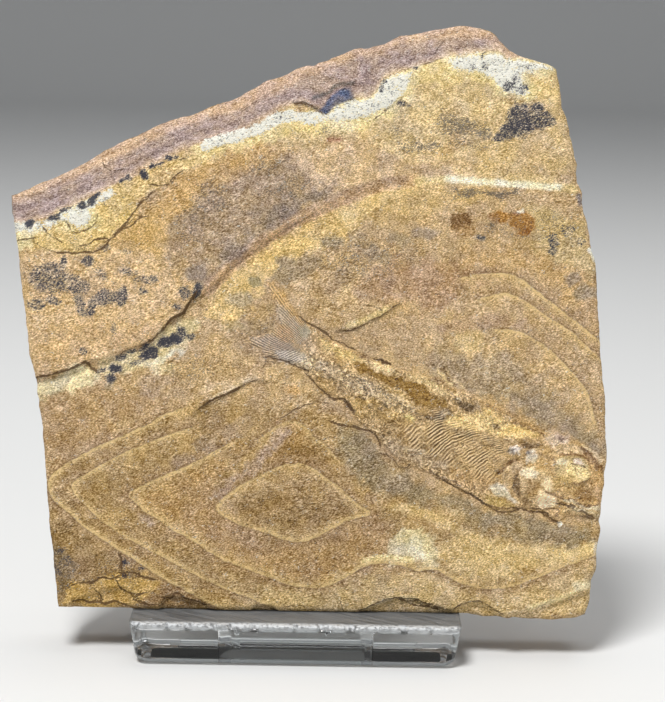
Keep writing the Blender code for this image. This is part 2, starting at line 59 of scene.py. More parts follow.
LEFT_EDGE = [(-45.8, 0.1), (-46.3, 4.0), (-46.6, 7.0), (-47.0, 10.0), (-47.4, 13.0), (-47.7, 16.0),
             (-48.1, 20.0), (-48.6, 26.0), (-49.2, 32.0), (-49.5, 33.8), (-49.9, 36.0), (-50.0, 38.5),
             (-50.6, 40.5), (-51.2, 43.0), (-52.0, 49.0), (-52.8, 55.0), (-53.4, 60.0), (-54.1, 64.5),
             (-54.8, 67.5), (-55.3, 69.9)]
TOP_EDGE = [(-55.3, 69.9), (-54.2, 70.2), (-53.4, 70.8), (-50.6, 72.2), (-48.6, 73.0), (-46.6, 73.9),
            (-43.6, 75.4), (-41.6, 76.6), (-39.5, 78.0), (-37.5, 79.1), (-35.4, 80.1), (-34.0, 80.5),
            (-32.4, 81.6), (-30.4, 82.6), (-28.4, 83.4), (-26.3, 83.9), (-24.3, 84.3), (-22.3, 85.3),
            (-20.3, 86.0), (-18.3, 86.7), (-16.2, 87.7), (-15.2, 88.5), (-13.7, 89.2), (-12.2, 90.3),
            (-10.7, 90.7), (-9.1, 91.2), (-8.1, 91.6), (-6.9, 92.6), (-5.4, 93.1), (-4.1, 93.1),
            (-3.1, 93.8), (-1.5, 94.2), (-0.8, 94.8), (0.5, 95.2), (2.0, 95.8), (4.1, 96.4), (5.1, 96.4),
            (6.6, 96.7), (8.1, 97.1), (9.3, 97.8), (10.6, 98.5), (13.1, 98.9), (15.2, 99.4), (17.2, 99.8),
            (20.2, 100.3), (22.2, 100.4), (24.7, 99.9), (26.7, 98.7), (28.2, 97.0), (29.2, 95.9),
            (30.6, 95.0), (32.0, 94.4), (34.0, 93.9), (36.0, 93.3), (37.2, 92.6)]
RIGHT_EDGE = [(43.6, 0.1), (44.2, 1.8), (44.4, 3.0), (44.4, 6.0), (44.9, 7.0), (45.3, 8.1), (45.4, 10.8),
              (45.5, 12.0), (45.8, 13.5), (45.9, 15.0), (45.7, 16.0), (46.1, 19.0), (46.3, 22.0),
              (46.6, 25.0), (46.75, 27.0), (46.6, 31.0), (46.3, 36.0), (45.9, 41.0), (45.5, 44.0),
              (45.2, 49.0), (44.8, 55.0), (44.5, 59.5), (44.1, 61.0), (43.5, 62.0), (43.4, 64.5),
              (42.8, 66.5), (42.2, 68.2), (41.9, 70.0), (41.8, 71.8), (41.0, 73.3), (40.8, 75.0),
              (41.0, 76.6), (40.4, 78.0), (40.0, 80.0), (39.6, 82.5), (39.0, 84.5), (38.3, 86.0),
              (38.0, 88.5), (37.6, 90.8), (37.2, 92.6)]
FOOT_EDGE = [(-45.8, 0.1), (-40.0, 0.0), (0.0, 0.0), (23.6, 0.0), (26.0, -0.4), (30.0, -0.55), (34.0, -0.8),
             (38.0, -0.85), (42.0, -0.45), (43.6, 0.1)]


def ease(value, low, high):
    """0 below low, 1 above high, smooth between."""
    t = np.clip((value - low) / (high - low), 0.0, 1.0)
    return t * t * (3.0 - 2.0 * t)


def smoothed(points, step):
    """Points about step apart on a Catmull-Rom curve through given points."""
    p = np.array(points, float)
    lengths = np.hypot(*np.diff(p, axis=0).T)
    counts = np.maximum(1, np.round(lengths / step).astype(int))
    knots = np.concatenate([k + np.arange(n) / n for k, n in enumerate(counts)] + [[len(p) - 1.0]])
    k = np.minimum(knots.astype(int), len(p) - 2)
    f = (knots - k)[:, None]
    a, b, c, d = p[np.maximum(k - 1, 0)], p[k], p[k + 1], p[np.minimum(k + 2, len(p) - 1)]
    return 0.5 * (2 * b + (c - a) * f + (2 * a - 5 * b + 4 * c - d) * f**2 + (3 * b - a - 3 * c + d) * f**3)


def stations(points, count):
    """count points spaced evenly along a polyline, ends kept."""
    path = np.array(points, float)
    along = np.concatenate([[0.0], np.cumsum(np.hypot(*np.diff(path, axis=0).T))])
    at = np.linspace(0.0, along[-1], count)
    return np.stack([np.interp(at, along, path[:, k]) for k in (0, 1)], axis=1)


def line_distance(plan, line, reach=None):
    """Distance of each plan point from a polyline, positive on its left.

    With a reach, points further than that from the line's box are passed over and get the reach itself.
    """
    path = np.array(line, float)
    best = np.full(len(plan), 1e3 if reach is None else reach)
    side = np.ones(len(plan))
    if reach is None:
        near = np.arange(len(plan))
    else:
        low, high = path.min(0) - reach, path.max(0) + reach
        near = np.flatnonzero(np.all((plan > low) & (plan < high), axis=1))
    spot, gap_so_far, side_so_far = plan[near], best[near], side[near]
    for start, end in zip(path[:-1], path[1:]):
        run = end - start
        offset = spot - start
        t = np.clip(offset @ run / max(run @ run, 1e-12), 0.0, 1.0)
        gap = np.hypot(offset[:, 0] - t * run[0], offset[:, 1] - t * run[1])
        cross = run[0] * offset[:, 1] - run[1] * offset[:, 0]
        nearer = gap < gap_so_far - 1e-9
        gap_so_far = np.where(nearer, gap, gap_so_far)
        side_so_far = np.where(nearer, np.sign(cross), side_so_far)
    best[near], side[near] = gap_so_far, side_so_far
    return best * side


def inside(plan, polygon):
    """True for each plan point within a closed polygon, by counting the edges to its right."""
    ring = np.array(polygon, float)
    hit = np.zeros(len(plan), bool)
    for (x0, y0), (x1, y1) in zip(ring, np.roll(ring, -1, axis=0)):
        if y0 != y1:
            spans = (plan[:, 1] < y0) != (plan[:, 1] < y1)
            hit ^= spans & (plan[:, 0] < x0 + (plan[:, 1] - y0) / (y1 - y0) * (x1 - x0))
    return hit


def depth_inside(plan, polygon, reach=None):
    """Distance in from a closed polygon's edge, negative outside it."""
    closed = list(polygon) + [polygon[0]]
    gap = np.abs(line_distance(plan, closed, reach))
    return np.where(inside(plan, polygon), gap, -gap)


def ellipse_radius(plan, centre, radii, turn=0.0):
    """1 on an ellipse turned by an angle in degrees, less inside it."""
    x, y = plan[:, 0] - centre[0], plan[:, 1] - centre[1]
    c, s = math.cos(math.radians(turn)), math.sin(math.radians(turn))
    return np.hypot((x * c + y * s) / radii[0], (y * c - x * s) / radii[1])


def mottle(plan, size, seed, octaves=3, stretch=1.0, turn=0.0):
    """Cloudy unevenness of about -1 to 1.

    Random values on a square lattice of the given size, eased between neighbours, and summed over lattices
    each half the size and half the weight of the last. Stretch lengthens the clouds along the turned x axis.
    """
    total = np.zeros(len(plan))
    weight = 1.0
    for k in range(octaves):
        angle = math.radians(turn) + (0.6 * k if stretch == 1.0 else 0.0)
        c, s = math.cos(angle), math.sin(angle)
        x = (plan[:, 0] * c + plan[:, 1] * s) / (size * stretch) * 2.0**k + 11.3 * k
        y = (plan[:, 1] * c - plan[:, 0] * s) / size * 2.0**k + 7.9 * k
        values = np.random.default_rng(seed * 31 + k).uniform(-1.0, 1.0, (128, 128))
        i, j = np.floor(x).astype(int), np.floor(y).astype(int)
        fx, fy = x - i, y - j
        fx, fy = fx * fx * (3 - 2 * fx), fy * fy * (3 - 2 * fy)
        i0, j0, i1, j1 = i % 128, j % 128, (i + 1) % 128, (j + 1) % 128
        low = values[i0, j0] * (1 - fx) + values[i1, j0] * fx
        high = values[i0, j1] * (1 - fx) + values[i1, j1] * fx
        total += weight * (low * (1 - fy) + high * fy)
        weight *= 0.5
    return total / 1.25


# ---- the slab: relief of its face ---------------------------------------------------------------------------
# The upper edge is a broken slope across the layers. Below it the face steps down once, from a proud upper left
# layer to the fish's layer, with two low splits and, along the foot, a few flakes broken away.
RIM = [(-56.5, 64.6), (-54.2, 64.9), (-52.0, 64.9), (-50.0, 65.4), (-46.0, 67.0), (-42.0, 68.9), (-38.0, 71.2),
       (-34.0, 73.2), (-31.0, 75.0), (-27.0, 77.0), (-23.0, 78.9), (-18.0, 80.3), (-15.0, 81.3),
       (-12.0, 83.2), (-8.5, 85.5), (-6.0, 86.1), (-4.0, 85.3), (-1.8, 84.3), (0.8, 86.2), (3.0, 86.7),
       (5.8, 87.1), (7.3, 89.0), (8.5, 90.6), (13.0, 92.3), (18.5, 94.1), (24.0, 95.0), (27.5, 95.3),
       (29.0, 94.2), (32.0, 94.2), (36.0, 95.0)]
LEDGE = [(-52.0, 38.5), (-48.0, 39.3), (-46.0, 39.9), (-44.0, 40.5), (-42.5, 41.2), (-41.8, 41.7), (-39.0, 42.1),
         (-36.5, 42.9), (-35.5, 43.7), (-33.0, 44.2), (-32.0, 44.9), (-30.5, 45.8), (-28.8, 47.2), (-28.2, 48.2),
         (-27.5, 49.1), (-26.0, 49.9), (-25.0, 51.0), (-24.3, 52.0), (-23.6, 53.2), (-21.5, 54.2),
         (-20.0, 55.4), (-18.6, 56.9), (-17.0, 58.9), (-14.0, 61.3), (-10.0, 64.1), (-6.0, 66.5), (-2.0, 68.3),
         (2.0, 70.2), (6.0, 71.8), (10.0, 72.8), (13.0, 73.2)]
SPLITS = [[(-22.5, 33.8), (-20.8, 35.2), (-19.0, 36.1), (-17.0, 37.0), (-15.0, 38.3), (-13.9, 39.2), (-12.7, 39.1)],
          [(2.3, 47.9), (4.0, 48.3), (6.0, 49.3), (8.0, 50.3), (9.4, 51.2), (10.6, 52.0)]]
CHIPS = [[(5.0, -2.0), (5.0, 0.2), (7.0, 0.9), (9.0, 1.8), (11.0, 2.4), (14.5, 2.3), (16.0, 1.7),
          (20.0, 0.6), (22.0, 1.3), (23.5, 2.0), (25.0, 2.2), (27.5, 1.2), (29.5, 0.0), (29.5, -2.0)],
         [(31.0, -2.0), (31.0, 0.0), (34.0, 0.9), (37.0, 2.0), (40.0, 3.0), (42.0, 4.0), (47.0, 4.9), (47.0, -2.0)],
         [(-30.0, -2.0), (-28.6, 0.6), (-27.8, 2.2), (-25.0, 2.2), (-23.0, 1.5), (-20.0, 0.8), (-17.0, -2.0)],
         [(-14.0, -2.0), (-13.0, 0.6), (-11.0, 1.1), (-9.5, 0.8), (-7.5, -2.0)],
         [(-44.0, -2.0), (-43.5, 1.4), (-41.0, 2.3), (-37.0, 3.4), (-35.5, 4.1), (-34.0, 3.0), (-33.0, -2.0)]]
CRUST = [[(19.0, 93.6), (20.5, 94.3), (23.0, 94.8), (25.5, 94.8), (27.5, 95.0), (29.0, 94.0), (32.0, 94.0),
          (35.0, 93.3), (36.6, 92.6), (33.0, 92.3), (31.6, 92.2), (31.2, 91.0), (31.6, 90.0), (32.5, 88.5),
          (32.0, 88.0), (30.0, 88.2), (28.4, 88.8), (27.3, 90.0), (26.0, 91.2), (24.5, 92.0), (20.0, 92.3)],
         [(-3.4, 84.5), (-1.4, 84.0), (0.5, 85.7), (2.2, 86.6), (4.2, 86.5), (6.0, 87.1), (7.2, 88.7), (8.0, 90.2),
          (10.0, 91.1), (12.8, 91.7), (12.2, 89.4), (11.0, 87.9), (9.5, 86.0), (7.0, 85.0), (5.0, 84.0),
          (2.0, 83.2), (0.0, 83.3), (-2.0, 83.3)],
         [(-45.8, 66.6), (-43.6, 67.9), (-41.6, 68.2), (-41.2, 66.8), (-41.8, 65.0), (-43.0, 64.2),
          (-44.6, 64.9), (-45.7, 65.8)]]

FISH_BODY = [(-5.0, 49.3), (-2.0, 47.7), (0.0, 46.2), (2.0, 45.2), (5.5, 43.4), (10.0, 41.9), (14.0, 40.6),
             (18.0, 39.7), (20.0, 38.6), (24.0, 37.2), (27.0, 36.0), (31.0, 33.8), (34.0, 32.2), (37.0, 31.0),
             (39.5, 30.5), (43.0, 28.9), (45.3, 26.6), (46.0, 24.0), (45.8, 20.0), (45.2, 17.0), (42.0, 16.7),
             (40.0, 17.0), (38.9, 15.4), (37.0, 16.8), (35.0, 17.6), (32.0, 18.0), (30.0, 17.4), (28.0, 17.7),
             (25.0, 19.2), (21.0, 21.4), (17.0, 23.4), (13.0, 24.9), (10.0, 26.9), (8.0, 29.1), (6.5, 30.6),
             (4.2, 32.3), (3.0, 34.8), (1.0, 36.1), (-1.5, 37.3), (-3.0, 38.9), (-5.0, 41.0)]
FISH_TAIL = [(-4.6, 49.2), (-5.8, 50.4), (-6.9, 51.8), (-7.9, 53.0), (-9.0, 54.6), (-10.4, 56.2), (-11.6, 55.6),
             (-11.4, 54.4), (-10.3, 53.0), (-9.9, 51.2), (-9.5, 50.0), (-9.2, 48.6), (-10.4, 47.3), (-12.4, 46.9),
             (-14.6, 46.4), (-14.2, 45.0), (-12.2, 44.2), (-11.7, 43.2), (-10.0, 42.9), (-8.4, 42.4), (-6.5, 41.8),
             (-4.4, 40.7), (-2.5, 44.0)]
LOWER_RAYS = [(-9.6, 44.1), (-6.6, 44.3), (-5.0, 43.6), (-4.0, 42.4), (-6.4, 41.7), (-8.6, 42.3), (-10.4, 43.2)]
BACKBONE = [(-3.0, 43.6), (3.0, 41.0), (9.0, 37.8), (15.0, 34.2), (21.0, 31.4), (28.0, 28.8), (34.0, 27.2)]
JAWS = [[(35.0, 20.6), (38.0, 19.9), (41.0, 19.2), (45.6, 18.3)],
        [(38.4, 17.0), (40.5, 18.5), (43.0, 17.8), (45.2, 17.1)]]
GILL_GROOVE = [(28.4, 23.9), (29.6, 25.2), (31.0, 26.1), (32.0, 26.2)]
OPERCLE = ((34.6, 22.2), (3.0, 3.4))
EYE = ((41.2, 24.9), (3.2, 2.4))
FISH_AXIS = math.radians(-25.8)        # direction from the tail root to the snout
FISH_ROOT = (-4.0, 45.0)
TAIL_HUB = (-1.5, 44.0)


def fish_axes(plan):
    """Distance along the fish from its tail root, and height above its backbone line, in mm."""
    x, y = plan[:, 0] - FISH_ROOT[0], plan[:, 1] - FISH_ROOT[1]
    c, s = math.cos(FISH_AXIS), math.sin(FISH_AXIS)
    return x * c + y * s, y * c - x * s


def comb(plan):
    """Fin rays and ribs, as a phase in periods and how far they show, 0 to 1.

    On the tail the phase is the bearing from its hub, swung with distance because the lower rays curve. On the
    body it is the distance along the fish, less a parabola in the height, so that each rib rises steeply from
    the belly and then sweeps forward to the backbone.
    """
    x, y = plan[:, 0] - TAIL_HUB[0], plan[:, 1] - TAIL_HUB[1]
    radius, bearing = np.hypot(x, y), np.degrees(np.arctan2(y, x)) % 360.0
    bearing += (0.2 + 1.6 * ease(bearing, 135.0, 165.0)) * (radius - 9.0)
    rays = bearing / 2.3 + 0.2 * mottle(plan, 2.0, 41)
    rays = np.where(depth_inside(plan, LOWER_RAYS) > 0, (0.91 * y - 0.42 * x) / 0.36 + 0.2 * mottle(plan, 1.0, 41), rays)
    on_tail = ease(depth_inside(plan, FISH_TAIL, 3.0) + 0.5 * mottle(plan, 1.1, 46, 2), 0.0, 0.9)
    on_tail *= ease(radius, 2.6, 5.0) * (0.9 - 0.3 * np.exp(-((bearing - 153.0) / 6.0) ** 2) + 0.3 * mottle(plan, 1.4, 47, 3))
    along, above = fish_axes(plan)
    rise = np.maximum(above + 6.2, -2.0)
    ribs = (along - 0.2 * rise - 0.088 * rise**2 * np.sign(rise)) / 0.58 + 0.55 * mottle(plan, 2.0, 42)
    belly = depth_inside(plan, FISH_BODY, 4.0)
    on_ribs = ease(along, 18.0, 23.0) * (1 - ease(along, 36.0, 39.0)) * ease(belly, 2.2, 4.0)
    on_ribs *= (1 - ease(above, -1.2, 1.0)) * ease(mottle(plan, 1.3, 43) + 0.6, 0.0, 1.1)
    tail_side = plan[:, 0] < 4.0
    return np.where(tail_side, rays, ribs), np.where(tail_side, on_tail, 1.45 * on_ribs)


def fish_relief(plan):
    """Height of the fish above the bedding plane, in mm."""
    body = depth_inside(plan, FISH_BODY)
    tail = depth_inside(plan, FISH_TAIL)
    height = 1.3 * (0.3 * ease(body, 0.0, 0.6) + 0.7 * ease(body, 0.3, 6.0)) * ease(plan[:, 0], -6.0, 3.0)
    height = np.maximum(height, 0.35 * ease(tail, 0.0, 0.8))
    height += 0.3 * (1.0 - ease(np.abs(line_distance(plan, BACKBONE, 3.0)), 0.0, 1.2))
    height += 0.45 * (1.0 - ease(ellipse_radius(plan, *OPERCLE), 0.6, 1.1))
    socket = ellipse_radius(plan, *EYE)
    height += 0.35 * (1.0 - ease(np.abs(socket - 1.0), 0.0, 0.35)) - 0.3 * (1.0 - ease(socket, 0.5, 1.0))
    for jaw in JAWS:
        height += 0.4 * (1.0 - ease(np.abs(line_distance(plan, jaw, 3.0)), 0.1, 0.9))
    height -= 0.35 * (1.0 - ease(np.abs(line_distance(plan, GILL_GROOVE, 3.0)), 0.1, 0.8))
    return height, body, tail


def fish_detail(plan, body, tail):
    """Fine relief of the fish, in mm: fin rays, ribs, broken scales and pitted bone."""
    phase, cover = comb(plan)
    height = 0.07 * np.cos(2 * math.pi * phase) * cover
    return height + ease(body, 0.1, 1.2) * (0.12 * mottle(plan, 1.5, 44, 3) + 0.08 * (1 - cover) * mottle(plan, 0.5, 45, 2))


def face_depth(plan, edge_distance=None):
    """How far the front face lies behind the fish's bedding plane, in mm."""
    above_rim = line_distance(plan, RIM)
    fall = np.maximum(above_rim, 0.0)
    depth = 0.75 * fall * ease(fall, -1.0, 1.6)
    swing = mottle(plan, 9.0, 4, 2, stretch=2.0, turn=27.0)
    layer = above_rim * 0.55 + 0.8 * swing
    terrace = layer - np.floor(layer)
    depth += (0.26 * ease(terrace, 0.3, 0.8) - 0.13) * ease(fall, 0.3, 1.5)
    depth += 0.14 * mottle(plan, 1.0, 5, 3, stretch=1.6, turn=27.0) * ease(fall, 0.2, 1.2)
    ledge_gap = line_distance(plan, LEDGE)
    proud = 0.9 * ease(ledge_gap + 0.12 * mottle(plan, 1.5, 6), -0.2, 0.25) * (1.0 - ease(plan[:, 0], -14.0, 12.0))
    relief, body, tail = fish_relief(plan)
    depth -= proud + relief + fish_detail(plan, body, tail)
    for line in SPLITS:
        lift = line_distance(plan, smoothed(line, 0.5), 5.0)
        depth -= 0.5 * ease(lift, -0.1, 0.1) * (1.0 - ease(np.abs(lift), 0.3, 3.2))
    for chip in CHIPS:
        depth += 0.8 * ease(depth_inside(plan, chip, 4.0) + 0.25 * mottle(plan, 1.3, 9), -0.1, 0.45)
    for patch in CRUST:
        lump = ease(depth_inside(plan, patch, 3.0) + 0.4 * mottle(plan, 1.0, 12), 0.0, 0.6)
        depth -= lump * (0.14 + 0.12 * mottle(plan, 0.8, 13))
    depth += 0.22 * mottle(plan, 16.0, 1, 2) + 0.085 * mottle(plan, 1.9, 2, 3, stretch=1.5, turn=6.0)
    if edge_distance is not None:
        depth += 0.45 * (1.0 - ease(edge_distance, 0.0, 0.9)) ** 2
    return depth


# ---- the slab: colours of its face ---------------------------------------------------------------------------
# Iron has stained the rock in rings and bands of ochre, tan and brown. Manganese has grown in it as black
# moss-like sprays, and white and yellow crusts follow the rim.
def tone(red, green, blue):
    """Linear colour from a paint-chart one of 0 to 255."""
    chart = np.array([red, green, blue]) / 255.0
    return np.where(chart <= 0.04045, chart / 12.92, ((chart + 0.055) / 1.055) ** 2.4)


RINGS = [
    [(-19.6, 17.6), (-18.0, 19.3), (-16.0, 20.6), (-14.0, 22.0), (-12.0, 23.0), (-10.0, 24.0), (-8.0, 24.8),
     (-6.0, 25.1), (-4.5, 25.0), (-3.0, 24.4), (-1.0, 23.0), (0.0, 22.3), (2.0, 20.8), (4.0, 19.0), (5.5, 17.9),
     (6.9, 17.1), (6.7, 16.3), (5.0, 16.0), (3.0, 15.5), (1.0, 14.4), (-1.0, 13.2), (-3.0, 12.2), (-5.0, 11.8),
     (-7.0, 11.9), (-9.0, 12.5), (-11.0, 13.3), (-13.0, 13.8), (-15.0, 14.3), (-17.0, 15.2), (-18.8, 16.3),
     (-19.6, 17.6)],
    [(-12.4, 29.0), (-10.0, 30.9), (-8.0, 32.0), (-6.0, 32.2), (-4.2, 31.2), (-3.0, 29.8), (-1.0, 28.2), (1.0, 26.2)],
    [(46.0, 10.4), (44.0, 9.8), (42.0, 9.0), (40.0, 8.3), (38.0, 7.5), (36.0, 6.5), (34.0, 5.8), (32.0, 5.0),
     (30.0, 4.5), (28.0, 4.3), (26.0, 4.4), (24.0, 4.7), (22.0, 5.4), (20.0, 6.3), (18.5, 7.3), (17.0, 7.4),
     (15.0, 7.0), (14.0, 7.5), (12.0, 8.0), (10.0, 8.4), (8.0, 8.3), (6.0, 7.8), (4.0, 6.5), (2.0, 5.3), (0.0, 4.4),
     (-2.0, 4.0), (-4.0, 4.1), (-6.0, 4.3), (-8.0, 4.9), (-10.0, 5.6), (-12.0, 6.3), (-14.0, 7.0), (-16.0, 7.8),
     (-18.0, 8.5), (-20.0, 9.6), (-22.0, 10.8), (-24.0, 12.0), (-26.0, 13.1), (-28.0, 14.3), (-30.0, 15.7),
     (-31.5, 16.5), (-33.0, 18.0), (-34.2, 19.0), (-34.0, 19.8), (-32.0, 20.9), (-30.0, 21.9), (-28.0, 22.8),
     (-26.0, 23.7), (-24.0, 24.6), (-22.0, 25.6), (-20.0, 26.8), (-17.5, 28.2)],
    [(-8.6, 0.0), (-11.0, 1.2), (-13.0, 1.9), (-15.0, 2.6), (-17.0, 3.4), (-19.0, 4.3), (-21.0, 5.1), (-23.0, 6.1),
     (-25.0, 7.1), (-27.0, 8.2), (-29.0, 9.2), (-31.0, 10.3), (-33.0, 11.2), (-35.0, 12.2), (-37.0, 13.7),
     (-39.0, 15.0), (-41.0, 17.0), (-42.5, 18.3), (-43.5, 19.6), (-43.7, 20.6), (-43.0, 21.8), (-41.0, 23.0),
     (-39.0, 24.2), (-37.5, 25.0), (-36.0, 26.0), (-34.0, 27.0), (-32.0, 27.7), (-30.0, 28.6), (-28.0, 29.4),
     (-26.0, 30.1), (-24.0, 30.8)],
    [(-18.0, 0.1), (-20.0, 1.0), (-22.0, 2.0), (-24.0, 3.0), (-26.0, 4.0), (-28.0, 5.1), (-30.0, 6.3), (-32.0, 7.6),
     (-34.0, 8.8), (-36.0, 10.0), (-38.0, 11.3), (-40.0, 12.6), (-42.0, 14.0), (-44.0, 15.9), (-46.0, 17.5),
     (-47.2, 18.6), (-47.9, 20.0), (-47.9, 21.2), (-47.4, 22.4), (-46.0, 23.6), (-44.0, 24.9), (-42.0, 26.0),
     (-40.0, 27.3), (-38.0, 28.2), (-36.0, 29.1), (-34.0, 30.0), (-32.0, 30.9), (-30.0, 31.9), (-28.0, 33.0),
     (-25.5, 34.0)],
    [(22.0, 57.2), (24.0, 57.6), (26.0, 57.8), (28.0, 57.8), (30.0, 57.6), (32.0, 56.8), (34.0, 55.4), (36.0, 53.8),
     (38.0, 52.3), (40.0, 50.8), (42.0, 49.3), (44.0, 47.7), (46.2, 46.0)],
    [(25.0, 53.6), (27.0, 54.2), (29.0, 54.5), (31.0, 54.0), (33.0, 53.0), (35.0, 51.7), (37.0, 50.4), (39.0, 49.1),
     (41.0, 47.6), (43.0, 45.8), (46.0, 43.2)],
    [(28.0, 48.3), (30.0, 48.3), (32.0, 47.9), (34.0, 46.9), (36.0, 45.6), (38.0, 44.0), (40.0, 42.0), (42.0, 39.8),
     (43.2, 38.0), (44.1, 35.6), (44.8, 33.0)]]
RING_STRENGTH = [0.9, 0.6, 1.0, 0.9, 1.0, 1.1, 1.0, 1.0]
RING_WIDTH = [1.3, 1.2, 1.7, 0.9, 0.8, 1.2, 1.2, 1.5]

